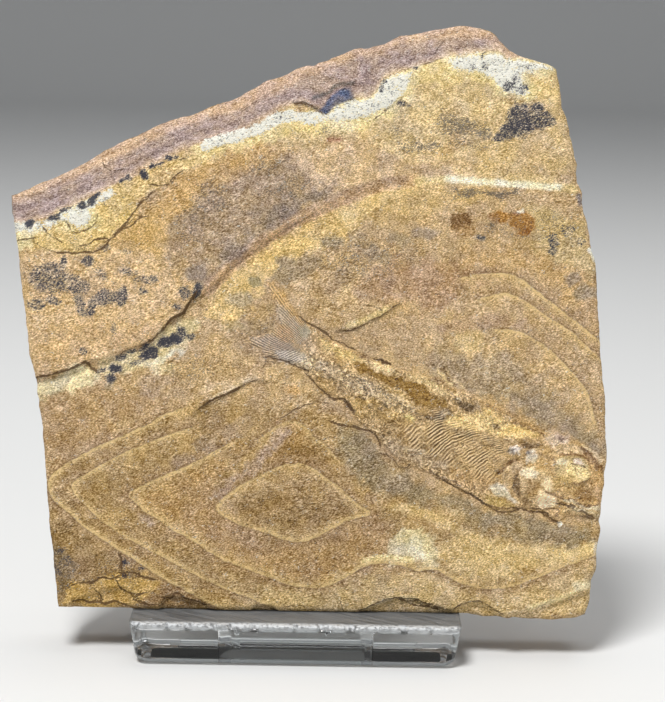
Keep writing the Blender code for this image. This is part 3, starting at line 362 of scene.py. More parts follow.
# polygon, colour, softness in mm, strength
ZONES = [
    ([(16, 77), (20, 80), (26, 81), (30, 88), (27, 94), (18, 93.5), (12, 91), (4, 86), (-4, 83), (-10, 81), (-6, 79),
      (2, 80), (8, 79.5), (12, 77.5)], (211, 187, 142), 1.6, 1.0),
    ([(25, 75), (41, 75), (40, 80), (38.5, 86), (34, 87), (28, 84), (26, 80), (20, 78)], (209, 182, 133), 1.6, 1.0),
    ([(31, 92.4), (33, 92), (37.4, 92.3), (38.2, 89), (38.4, 86), (36, 87), (33.5, 88), (32, 89)],
     (224, 197, 138), 0.6, 1.0),
    ([(-4, 78), (2, 79), (8, 78.5), (12, 77), (18, 76.5), (24, 75), (26, 73.8), (16, 74), (10, 73.4), (4, 72),
      (-2, 70.5), (-6, 72), (-8, 75)], (212, 184, 148), 1.6, 1.0),
    ([(-54, 60.5), (-55, 65), (-50, 65.4), (-46, 66.9), (-38, 71.2), (-33, 73.8), (-27, 77), (-20, 79.8), (-19, 77),
      (-25, 75), (-29, 72), (-32, 69), (-34.5, 66), (-37, 63), (-40, 61.5), (-45, 60.5)], (219, 191, 129), 0.8, 1.0),
    ([(-34, 64), (-31, 68), (-27, 73), (-22, 76), (-16, 79), (-12, 80), (-14, 77), (-20, 73), (-26, 68), (-30, 63)],
     (205, 169, 108), 1.8, 1.0),
    ([(-37.5, 62), (-34, 66), (-30, 65.5), (-27, 62), (-30, 60.5), (-34, 61)], (206, 171, 110), 1.4, 1.0),
    ([(-53.8, 61), (-46, 60.3), (-40, 60.4), (-36, 61.5), (-30, 60), (-25, 58), (-24, 54), (-27.5, 50), (-29, 47),
      (-36, 43.3), (-42, 41.6), (-51, 39)], (213, 182, 137), 1.2, 1.0),
    ([(-54.8, 60.4), (-54.4, 64.8), (-50, 65), (-48.2, 63.8), (-50.5, 62.6), (-52, 61)], (238, 225, 184), 0.6, 0.9),
    ([(-51, 40), (-50, 46), (-42, 48), (-34, 48), (-29, 48), (-30, 46), (-36, 43.5), (-42, 41.8)],
     (207, 174, 128), 2.0, 0.8),
    ([(-29, 62), (-27, 66), (-22, 71), (-18, 75), (-12, 77), (-7, 76.5), (-4, 73), (0, 71.2), (-2, 69.6), (-6, 67.6),
      (-10, 65.2), (-14, 62.4), (-17, 60.2), (-20, 56.8), (-23, 55), (-26, 57)], (166, 143, 119), 2.0, 0.85),
    ([(-17, 63), (-12, 68), (-6, 71), (-1, 71), (-6, 67.8), (-10, 65.6), (-14, 63), (-18, 60), (-21, 57.5),
      (-23, 57.5)], (150, 133, 118), 1.0, 0.75),
    ([(-30, 78), (-24, 74), (-18, 77), (-12, 79.5), (-8, 78), (-14, 74.5), (-22, 71), (-28, 66), (-30, 68)],
     (196, 160, 110), 2.0, 0.5),
    ([(-22, 50), (-19, 54.3), (-16.5, 58), (-13, 61), (-7, 65), (-1, 68), (4, 70.2), (9, 72.2), (15, 73), (17, 71),
      (12, 69.5), (7, 67), (3, 64), (-3, 61.8), (-8, 59.5), (-11, 57.5), (-13, 54), (-18, 49.5)],
     (223, 193, 131), 1.2, 0.95),
    ([(3, 67), (8, 70), (14, 72.6), (20, 72.8), (26, 71.5), (22, 69.5), (16, 68), (9, 66)], (212, 182, 126), 1.4, 0.8),
    ([(17, 57), (24, 59), (30, 58.5), (36, 55.5), (44, 49), (45.3, 46.5), (46, 58), (43, 62), (34, 62), (24, 62)],
     (196, 162, 112), 2.4, 0.8),
    ([(14, 60), (22, 58.5), (28, 57.5), (22, 56), (20, 52), (12, 52), (6, 55), (8, 59)], (184, 150, 114), 2.5, 0.85),
    ([(33, 69), (38, 69), (42, 67), (43.4, 64), (43.6, 61), (44.6, 58), (41, 59), (38, 60), (35, 62), (33, 65)],
     (200, 176, 126), 1.6, 0.9),
    ([(20, 50.5), (26, 50.5), (33, 50.3), (35, 49), (30, 48.8), (24, 47.8), (18, 47)], (176, 146, 116), 1.0, 0.7),
    ([(21, 46.5), (24, 47.6), (26, 47), (25, 45), (22, 44.8)], (218, 192, 142), 0.6, 0.75),
    ([(18, 45), (24, 44.5), (30, 44.5), (33, 42), (37, 38), (40, 35.5), (44.5, 31), (45, 27.5), (40, 31), (34, 33.5),
      (28, 36.5), (22, 38.5), (17, 41)], (170, 148, 116), 1.8, 0.9),
    ([(24, 38.5), (30, 38.5), (38, 35), (44, 31), (45, 28), (38, 32), (30, 35.5)], (158, 139, 112), 1.2, 0.8),
    ([(-48, 20), (-46, 24), (-38, 28.5), (-30, 32), (-22, 35.5), (-12, 34.5), (-4, 33.8), (3, 31.8), (8, 28),
      (13, 24.5), (20, 20.8), (28, 17), (36, 16), (45.8, 14), (45.5, 0), (-46, 0), (-46.5, 10)],
     (173, 143, 93), 2.0, 0.95),
    ([(-49.6, 24.5), (-46, 24.5), (-38, 29.5), (-30, 33.5), (-28, 36), (-38, 37.5), (-49.8, 35.5)],
     (178, 147, 106), 1.8, 0.9),
    ([(-47, 1), (-47.8, 16), (-45, 15.5), (-40, 11.8), (-34, 7.8), (-28, 4), (-30, 0), (-45, 0)],
     (153, 124, 77), 1.5, 0.95),
    ([(-34, 19), (-26, 23.5), (-20, 27), (-16, 29), (-18, 24), (-20, 20), (-20, 16), (-14, 12), (-10, 6), (-16, 8),
      (-26, 13)], (175, 141, 91), 1.5, 0.9),
    ([(-20, 16), (-14, 13), (-6, 11), (2, 14), (8, 17), (10, 12), (6, 8.5), (0, 5), (-6, 5), (-14, 8), (-21, 11)],
     (173, 140, 93), 1.5, 0.9),
    ([(-19, 17.6), (-6, 24.8), (6, 17), (-6, 12)], (176, 147, 101), 1.0, 0.9),
    ([(-15, 18.5), (-8, 22.5), (0, 19.5), (3, 17), (-2, 14.3), (-8, 13.2), (-14, 15.5)], (150, 120, 73), 2.2, 0.85),
    ([(-12, 27), (-8, 31.6), (-5.5, 31.6), (-3, 29), (0, 26.5), (1, 24), (-2, 24.4), (-6, 25.8), (-10, 24.8)],
     (174, 140, 88), 1.0, 0.95),
    ([(-8, 27.5), (-5, 28.3), (-1, 27.4), (0.5, 25), (-3, 24.8), (-6, 25.7)], (152, 119, 64), 0.9, 0.85),
    ([(-20.5, 20.5), (-17, 22.6), (-14, 25.5), (-11, 28.8), (-9, 30.6), (-7.5, 30.8), (-10, 27), (-13, 23.6),
      (-17, 20.8), (-19.5, 18.8)], (180, 154, 130), 0.9, 0.9),
    ([(1, 31), (6, 29.8), (9, 26.5), (12, 24), (20, 20.5), (26, 17.8), (32, 16.8), (38, 15), (44.5, 13.8), (44, 12),
      (36, 12), (28, 12.6), (22, 14.6), (16, 17), (12, 18.5), (8, 20), (4, 23), (1, 26)], (148, 130, 98), 1.2, 0.95),
    ([(6, 22), (12, 19), (14, 23), (9, 27)], (160, 140, 110), 1.8, 0.7),
    ([(9, 20), (16, 18.6), (24, 15.5), (30, 13.4), (26, 12.6), (18, 15), (12, 16.5), (7, 17.5)],
     (190, 158, 108), 1.2, 0.6),
    ([(10, 8.7), (10.3, 12), (11.2, 14.4), (13, 15.4), (15.5, 14.6), (17.5, 13.2), (18.8, 11), (18.7, 9.2),
      (18, 7.8), (14.5, 7.4), (12.5, 8.2)], (217, 202, 160), 0.7, 1.0),
    ([(12, 10), (13, 12.4), (15, 12.8), (17, 11), (16.6, 9.2), (14, 9)], (232, 223, 193), 0.9, 0.9),
    ([(14.8, 9.4), (17.6, 9.4), (17.8, 8.4), (16, 8)], (238, 228, 192), 0.5, 0.9),
    ([(19, 8.6), (22, 7.2), (26, 6.3), (32, 6.6), (38, 9.4), (44, 11.3), (36, 11.8), (28, 12.2), (22, 13.6),
      (19.6, 12)], (214, 187, 132), 0.9, 0.9),
    ([(-18, 0), (-8, 4.6), (0, 4), (6, 7.4), (14, 7), (20, 5.8), (28, 3.8), (36, 6), (45, 9.6), (44.5, 0)],
     (205, 179, 131), 0.9, 0.9),
    ([(-44.2, 0), (-44, 3.2), (-40.5, 4.5), (-38, 5.1), (-35, 5.6), (-33, 6.2), (-30, 5.2), (-28.6, 3.8), (-31, 1.6),
      (-34, 0)], (206, 170, 98), 0.5, 0.85),
    ([(-29, 4.8), (-26, 3.2), (-22, 0.2), (-31, 0), (-31.5, 1.2)], (148, 118, 82), 0.5, 0.7),
    ([(-47, 10.6), (-44.4, 9.8), (-42.6, 7.6), (-44.2, 4), (-46.4, 3)], (122, 104, 76), 0.8, 0.7),
    ([(-50, 38.8), (-46, 39.6), (-42, 40.9), (-39.8, 40.2), (-40.5, 38.4), (-43, 37), (-46, 35.5), (-49.9, 35.2)],
     (232, 219, 178), 0.8, 1.0),
    ([(-40.4, 40), (-38.5, 42), (-35, 43.4), (-32, 44.4), (-29, 46.3), (-26, 49), (-23, 50), (-22.6, 48.5),
      (-24.6, 45.5), (-27, 44), (-31, 41.6), (-33, 40.6), (-36, 40), (-38, 39.4)], (219, 202, 158), 0.6, 0.95),
    ([(-32.4, 41.5), (-30, 42.6), (-27, 44.4), (-24.6, 44.8), (-25.4, 43.8), (-28, 43), (-30, 41.2)],
     (234, 229, 208), 0.5, 0.95),
    ([(-32, 41.6), (-28, 42.2), (-27.4, 40.4), (-30, 40.2)], (226, 208, 166), 0.7, 0.8),
    ([(-15, 80.9), (-11, 83.9), (-8.5, 85.4), (-5, 85.2), (-2.5, 84.2), (0, 83), (4, 83.4), (8, 84.6), (4, 81.8),
      (0, 81.5), (-5, 81.6), (-9, 80.4), (-16, 78.6), (-22, 76.4), (-24, 77.8), (-20, 79.8)], (231, 210, 152), 0.7, 0.95),
    ([(12, 92), (15, 92.9), (18.5, 94), (19, 92.4), (24, 91.8), (26.4, 90.6), (24, 89.8), (18, 89.6), (14, 90)],
     (228, 205, 144), 0.8, 0.9)]

# line, colour, half width, softness, strength
STROKES = [
    # The pale band over the ledge's step is painted light on the step's face; the three dark lines after it are painted
    # shadow along the step.
    (LEDGE[19:], (216, 181, 142), 0.85, 0.5, 0.9),
    ([(-22.6, 52.6), (-20.6, 54.3), (-19.2, 55.9), (-17.5, 57.8), (-15.0, 59.8), (-11.0, 62.6), (-7.0, 65.2),
      (-3.0, 67.1), (1.0, 69.1), (5.0, 70.9), (9.0, 72.2)], (160, 128, 96), 0.15, 0.25, 0.4),
    ([(-21.5, 55.4), (-19.0, 58.3), (-16.0, 60.9), (-12.0, 63.8), (-8.0, 66.5), (-4.0, 68.4), (0.0, 70.3),
      (4.0, 72.0), (8.0, 73.1), (12.0, 73.7)], (140, 118, 104), 0.3, 0.4, 0.5),
    ([(2.0, 70.9), (5.0, 71.9), (9.0, 72.9), (11.5, 73.1)], (165, 135, 105), 0.5, 0.4, 0.6),
    # The next two strokes are a painted highlight along the end of the ledge.
    ([(14.0, 73.2), (18.0, 73.6), (24.0, 73.3), (30.0, 73.2), (36.0, 72.9), (40.4, 72.3)], (224, 203, 150),
     0.5, 0.5, 0.7),
    ([(19.0, 73.7), (24.0, 73.4), (28.0, 73.1), (32.0, 72.9), (38.0, 72.6)], (246, 240, 214), 0.38, 0.35, 0.95),
    ([(17.0, 75.8), (20.0, 75.3), (24.0, 74.8), (30.0, 74.4), (37.0, 74.0)], (228, 203, 152), 0.25, 0.4, 0.55),
    ([(6.0, 80.2), (8.0, 79.0), (10.0, 77.9), (12.5, 76.6), (16.0, 76.8), (20.0, 77.6), (24.0, 79.4), (28.0, 80.2)],
     (228, 203, 150), 0.25, 0.35, 0.55),
    ([(11.0, 17.6), (14.0, 17.4), (17.0, 16.4), (20.0, 15.0), (24.0, 13.2), (28.0, 11.9), (32.0, 11.0),
      (36.0, 10.4), (40.0, 10.4), (45.0, 11.6)], (220, 192, 136), 0.4, 0.8, 0.8),
    ([(38.0, 9.2), (41.0, 10.2), (44.0, 11.4), (45.2, 11.6)], (236, 209, 146), 0.6, 0.6, 0.8),
    ([(6.0, 8.6), (8.0, 9.2), (11.0, 9.3), (14.0, 8.8)], (240, 225, 172), 0.35, 0.4, 0.8),
    ([(-12.4, 29.0), (-14.5, 27.0), (-17.5, 24.0)], (150, 122, 92), 0.25, 0.5, 0.5),
    ([(34.0, 1.0), (37.0, 2.1), (40.0, 3.1), (42.0, 4.1), (44.0, 5.4)], (235, 216, 168), 0.3, 0.3, 0.9),
    ([(42.0, 5.2), (44.0, 5.4)], (236, 222, 180), 0.5, 0.5, 0.7),
    ([(6.5, 0.7), (9.0, 1.8), (11.0, 2.5), (14.5, 2.4)], (222, 204, 164), 0.15, 0.3, 0.7),
    # A painted highlight where the right edge catches the light.
    ([(43.3, 62.0), (43.9, 61.1), (44.3, 60.2)], (250, 248, 238), 0.28, 0.2, 0.95),
    ([(45.3, 11.9), (45.3, 10.4)], (248, 240, 220), 0.3, 0.3, 0.8),
    ([(-43.2, 21.6), (-44.0, 20.4), (-43.2, 19.0)], (206, 176, 124), 0.4, 0.4, 0.7),
    # These three strokes are painted highlights along the raised edges of the two splits.
    ([(-22.0, 37.2), (-19.5, 37.8), (-17.0, 38.2), (-15.0, 38.9), (-13.4, 39.6)], (222, 196, 156), 0.35, 0.4, 0.7),
    ([(-20.4, 35.9), (-18.5, 36.8), (-16.0, 38.1), (-14.0, 39.4)], (233, 212, 176), 0.14, 0.15, 0.8),
    ([(2.6, 48.6), (4.5, 49.2), (7.0, 50.3), (9.0, 51.4)], (226, 205, 150), 0.3, 0.4, 0.7)]

# centre, radii, turn in degrees, colour, strength: soft round stains
STAINS = [
    ((21.8, 66.5), (1.6, 1.5), 0, (128, 92, 46), 0.85), ((22.0, 65.0), (2.2, 1.0), 0, (165, 125, 70), 0.5),
    ((28.3, 67.5), (1.5, 0.9), 0, (183, 130, 50), 0.85), ((27.0, 67.2), (1.0, 0.8), 0, (150, 105, 55), 0.5),
    ((31.8, 66.5), (2.6, 1.6), -20, (180, 130, 62), 0.8), ((31.6, 64.9), (1.6, 0.6), 0, (176, 120, 48), 0.8),
    ((31.0, 67.9), (0.8, 0.4), 0, (176, 140, 120), 0.6), ((31.8, 68.1), (0.7, 0.3), 0, (244, 238, 224), 0.9),
    ((26.5, 65.8), (0.7, 0.4), 0, (105, 90, 75), 0.8), ((24.6, 64.0), (0.9, 0.4), 0, (150, 135, 118), 0.8),
    ((40.2, 56.9), (1.4, 1.3), 0, (163, 140, 114), 0.85), ((43.1, 54.7), (2.3, 1.5), 0, (168, 147, 120), 0.8),
    ((-7.4, 58.6), (3.4, 2.0), -20, (178, 155, 118), 0.85), ((-4.2, 59.2), (2.4, 1.7), 0, (174, 150, 116), 0.8),
    ((-8.6, 57.0), (2.4, 1.6), 0, (178, 155, 118), 0.8), ((-13.4, 55.8), (1.2, 1.2), 0, (174, 157, 116), 0.85),
    ((-15.6, 52.6), (2.4, 1.4), 0, (188, 166, 124), 0.7), ((-10.2, 51.2), (1.6, 0.9), 0, (186, 160, 118), 0.6),
    ((-13.0, 48.2), (3.2, 1.4), 0, (180, 154, 116), 0.7), ((-17.0, 48.6), (2.0, 1.0), 0, (196, 172, 128), 0.6),
    ((-0.6, 62.8), (2.4, 1.3), 10, (172, 152, 118), 0.7), ((5.0, 62.6), (3.2, 1.3), -20, (174, 150, 118), 0.6),
    ((7.5, 60.8), (2.8, 1.3), -15, (172, 148, 116), 0.7), ((11.0, 63.2), (2.4, 1.1), 0, (178, 156, 122), 0.7),
    ((1.8, 57.0), (2.0, 1.7), 0, (176, 150, 116), 0.6), ((15.4, 64.6), (2.6, 1.0), 0, (172, 150, 124), 0.7),
    ((-1.4, 55.2), (2.6, 1.3), 0, (182, 152, 112), 0.6), ((8.0, 55.0), (5.0, 2.6), 0, (186, 154, 120), 0.6),
    ((2.0, 66.8), (1.2, 1.0), 0, (232, 206, 150), 0.6), ((2.2, 54.8), (0.9, 0.8), 0, (224, 196, 152), 0.6),
    ((-0.3, 79.7), (1.4, 0.55), 0, (166, 116, 88), 0.7), ((9.5, 66.2), (4.0, 1.6), 0, (196, 166, 118), 0.5),
    ((-21.0, 28.4), (2.4, 1.6), 0, (172, 146, 112), 0.6), ((-16.0, 31.0), (3.0, 1.6), 20, (176, 148, 112), 0.6),
    ((-4.0, 36.0), (3.5, 1.4), -10, (196, 168, 130), 0.6), ((-6.5, 37.6), (2.0, 0.9), 0, (214, 168, 100), 0.5),
    ((1.0, 34.2), (3.0, 1.2), -10, (180, 150, 112), 0.5), ((-30.0, 38.4), (2.4, 1.4), 0, (188, 160, 126), 0.6),
    ((-30.5, 36.8), (2.0, 0.9), 0, (176, 150, 122), 0.5), ((-37.8, 38.0), (1.0, 1.4), 0, (176, 158, 128), 0.6),
    ((-29.5, 34.0), (2.2, 1.0), 10, (184, 152, 112), 0.4), ((-31.5, 15.0), (1.8, 1.0), -30, (176, 152, 128), 0.7),
    ((-25.0, 25.6), (2.2, 1.0), 20, (166, 140, 110), 0.6), ((-40.0, 18.6), (2.4, 1.6), -30, (176, 144, 92), 0.6),
    ((34.0, 64.0), (1.0, 0.8), 0, (170, 148, 118), 0.5), ((41.4, 70.7), (0.5, 0.9), 0, (150, 136, 130), 0.8),
    ((15.6, 75.0), (3.4, 0.8), 0, (186, 156, 122), 0.5), ((7.0, 19.2), (1.6, 1.1), 0, (182, 154, 124), 0.6),
    ((-10.0, 66.5), (3.2, 1.6), 36, (142, 126, 116), 0.5), ((-17.4, 60.6), (2.4, 1.3), 40, (146, 130, 120), 0.5),
    ((-23.0, 57.0), (2.0, 1.4), 0, (150, 134, 124), 0.6), ((-3.0, 70.0), (2.4, 0.8), 14, (138, 122, 108), 0.5),
    ((-17.0, 72.3), (1.0, 0.7), 0, (165, 138, 116), 0.7), ((-26.0, 62.5), (2.4, 1.2), 30, (176, 146, 108), 0.5)]

# centre, radii, turn in degrees, amount: black manganese growth
BLACK = [
    ((-51.3, 65.0), (1.0, 0.7), 30, 1.2), ((-46.9, 66.0), (0.75, 0.6), 0, 1.1), ((-47.9, 66.0), (0.35, 0.5), 0, 0.9),
    ((-46.0, 67.0), (0.55, 0.35), 20, 1.1), ((-45.0, 67.5), (0.7, 0.3), 30, 0.9), ((-42.8, 68.0), (0.8, 0.75), 0, 1.2),
    ((-41.2, 68.6), (0.75, 0.6), 20, 1.1), ((-40.6, 69.5), (1.2, 0.45), 25, 1.1), ((-39.8, 70.2), (0.5, 0.5), 0, 1.0),
    ((-39.0, 68.7), (0.35, 0.3), 0, 0.9), ((-36.2, 72.3), (0.7, 0.5), 40, 1.0), ((-35.0, 72.8), (0.7, 0.7), 0, 0.75),
    ((-32.3, 74.0), (0.8, 0.6), 0, 1.2), ((-31.9, 73.4), (0.7, 0.5), 0, 1.2), ((-30.6, 75.1), (0.6, 0.5), 30, 1.0),
    ((-29.4, 75.6), (0.6, 0.35), 30, 0.9), ((-28.1, 76.5), (0.7, 0.45), 20, 1.1), ((-26.9, 76.8), (0.6, 0.3), 20, 0.9),
    ((-48.0, 55.6), (4.4, 2.7), -10, 0.50), ((-44.0, 54.8), (3.2, 2.0), -10, 0.46), ((-47.5, 57.6), (3.0, 1.2), 0, 0.40),
    ((-50.3, 51.4), (1.8, 1.3), 0, 0.46), ((-47.4, 52.0), (1.8, 1.0), -20, 0.46), ((-43.0, 51.8), (1.2, 1.8), 20, 0.50),
    ((-41.8, 50.0), (1.8, 0.9), 0, 0.50), ((-38.8, 52.4), (2.8, 1.5), 20, 0.52), ((-35.8, 53.0), (1.3, 1.9), 0, 0.55),
    ((-40.8, 51.4), (1.1, 0.8), 0, 0.5), ((-41.6, 58.8), (1.6, 1.0), 0, 0.55), ((-45.8, 58.6), (0.7, 1.2), 0, 0.5),
    ((-34.6, 57.1), (2.4, 0.8), -15, 0.40), ((-32.6, 55.6), (2.0, 0.9), 0, 0.42), ((-30.5, 55.7), (1.0, 0.9), 0, 0.58),
    ((-32.2, 53.7), (0.9, 0.8), 0, 0.52), ((-37.1, 47.4), (0.9, 1.3), 0, 0.38), ((-39.2, 56.6), (0.9, 1.8), 40, 0.36),
    ((-25.2, 53.7), (1.2, 1.4), 40, 0.56), ((-22.9, 54.2), (0.9, 1.5), -20, 0.72), ((-26.5, 51.3), (0.9, 0.7), 0, 0.42),
    ((-42.3, 43.5), (1.0, 0.8), 0, 0.40), ((-38.6, 61.0), (1.4, 0.7), 0, 0.45), ((-35.0, 60.2), (1.2, 0.6), 0, 0.36),
    ((-36.9, 40.6), (1.2, 0.8), -10, 1.1), ((-37.7, 39.0), (1.0, 1.1), 0, 0.58), ((-31.2, 43.4), (1.8, 0.85), 30, 1.1),
    ((-30.2, 43.0), (0.7, 0.5), 0, 1.0), ((-28.2, 45.2), (1.6, 0.9), 20, 1.15), ((-26.5, 46.0), (1.4, 0.9), 15, 1.15),
    ((-25.4, 47.3), (1.2, 1.1), 30, 0.62), ((-31.9, 44.4), (1.4, 0.5), 30, 0.7), ((-35.8, 42.6), (1.3, 0.6), 20, 0.6),
    ((-34.0, 43.6), (1.0, 0.4), 10, 0.65), ((-24.0, 46.5), (0.9, 0.7), 0, 0.60), ((-39.2, 40.4), (1.2, 0.5), 0, 0.5),
    ((-33.0, 41.6), (1.8, 0.5), 20, 0.45),
    ((31.4, 83.8), (2.9, 3.0), -20, 0.66), ((34.4, 84.2), (2.6, 1.9), 0, 0.60), ((34.2, 86.2), (1.3, 1.0), 0, 0.66),
    ((29.6, 81.9), (2.7, 1.5), 30, 0.74), ((27.6, 80.9), (1.4, 0.7), 30, 0.56), ((36.6, 83.6), (0.9, 0.9), 0, 0.52),
    ((32.0, 86.2), (1.0, 0.8), 0, 0.55), ((29.2, 89.7), (1.1, 1.2), 0, 0.62), ((31.3, 89.0), (1.0, 0.8), 0, 0.50),
    ((30.3, 90.8), (0.9, 0.9), 0, 0.42), ((25.2, 92.8), (0.7, 0.9), 20, 0.52), ((25.1, 95.2), (0.8, 0.4), 0, 0.35),
    ((24.7, 94.4), (0.35, 0.7), 0, 0.6), ((32.3, 92.9), (0.9, 0.6), 0, 0.44), ((22.9, 92.7), (0.9, 0.7), 0, 0.40),
    ((11.3, 86.7), (1.1, 0.4), 0, 0.7), ((12.3, 86.3), (0.5, 0.3), 0, 0.7), ((7.5, 88.7), (0.4, 0.8), 0, 0.6),
    ((8.1, 89.8), (0.5, 0.5), 0, 0.8), ((13.0, 92.3), (0.8, 0.25), -20, 0.7), ((-9.5, 83.8), (0.35, 0.5), 0, 0.7),
    ((-45.4, 9.6), (1.4, 0.6), 20, 0.50), ((-44.4, 8.0), (1.5, 1.0), 20, 0.40), ((-46.0, 6.4), (0.9, 1.4), 0, 0.44),
    ((-35.0, 7.5), (0.5, 0.9), 0, 0.75), ((-35.0, 5.5), (0.5, 0.5), 0, 0.7), ((-37.0, 5.1), (0.7, 0.5), 0, 0.45),
    ((-32.0, 6.8), (0.8, 0.5), 0, 0.5), ((37.2, 63.3), (1.2, 1.5), 0, 0.46), ((37.0, 61.8), (1.2, 0.9), 0, 0.48),
    ((39.8, 65.2), (1.5, 1.2), 0, 0.36), ((24.7, 64.0), (0.9, 0.45), 0, 0.55), ((42.0, 63.4), (0.9, 0.9), 0, 0.36)]

# the same for fine grey speckling
GREY = [
    ((21.0, 82.4), (4.4, 2.2), 0, 0.76), ((25.2, 82.4), (1.7, 1.6), 0, 0.78), ((14.4, 79.2), (3.2, 1.3), 0, 0.72),
    ((10.4, 81.4), (1.5, 1.0), 0, 0.52), ((13.4, 82.9), (1.0, 0.6), 0, 0.55), ((26.0, 71.6), (6.8, 0.65), 2, 0.92),
    ((22.0, 71.0), (2.4, 0.7), 10, 0.86), ((-8.0, 71.5), (5.0, 1.6), 12, 0.44), ((-24.0, 66.0), (3.0, 6.0), -20, 0.36),
    ((-12.0, 75.5), (4.0, 1.8), 0, 0.40), ((-20.5, 70.0), (2.5, 3.0), 0, 0.42), ((38.0, 66.0), (4.0, 3.0), 0, 0.40),
    ((-2.0, 81.8), (2.2, 0.9), 0, 0.5), ((-24.0, 41.0), (5.0, 3.0), 0, 0.36), ((-10.0, 46.0), (6.0, 3.0), 0, 0.34),
    ((6.0, 60.0), (9.0, 4.0), 0, 0.34), ((22.0, 79.4), (4.0, 0.9), 0, 0.5), ((30.0, 65.6), (6.0, 2.0), 0, 0.36),
    ((23.0, 93.2), (3.4, 1.1), 0, 0.34), ((8.0, 87.5), (2.4, 2.0), 0, 0.34), ((3.0, 85.0), (4.0, 1.2), 0, 0.3),
    ((-45.0, 5.0), (3.0, 4.0), 0, 0.36), ((-36.0, 6.0), (4.0, 2.4), 0, 0.40), ((29.2, 92.6), (5.0, 1.6), 0, 0.34)]

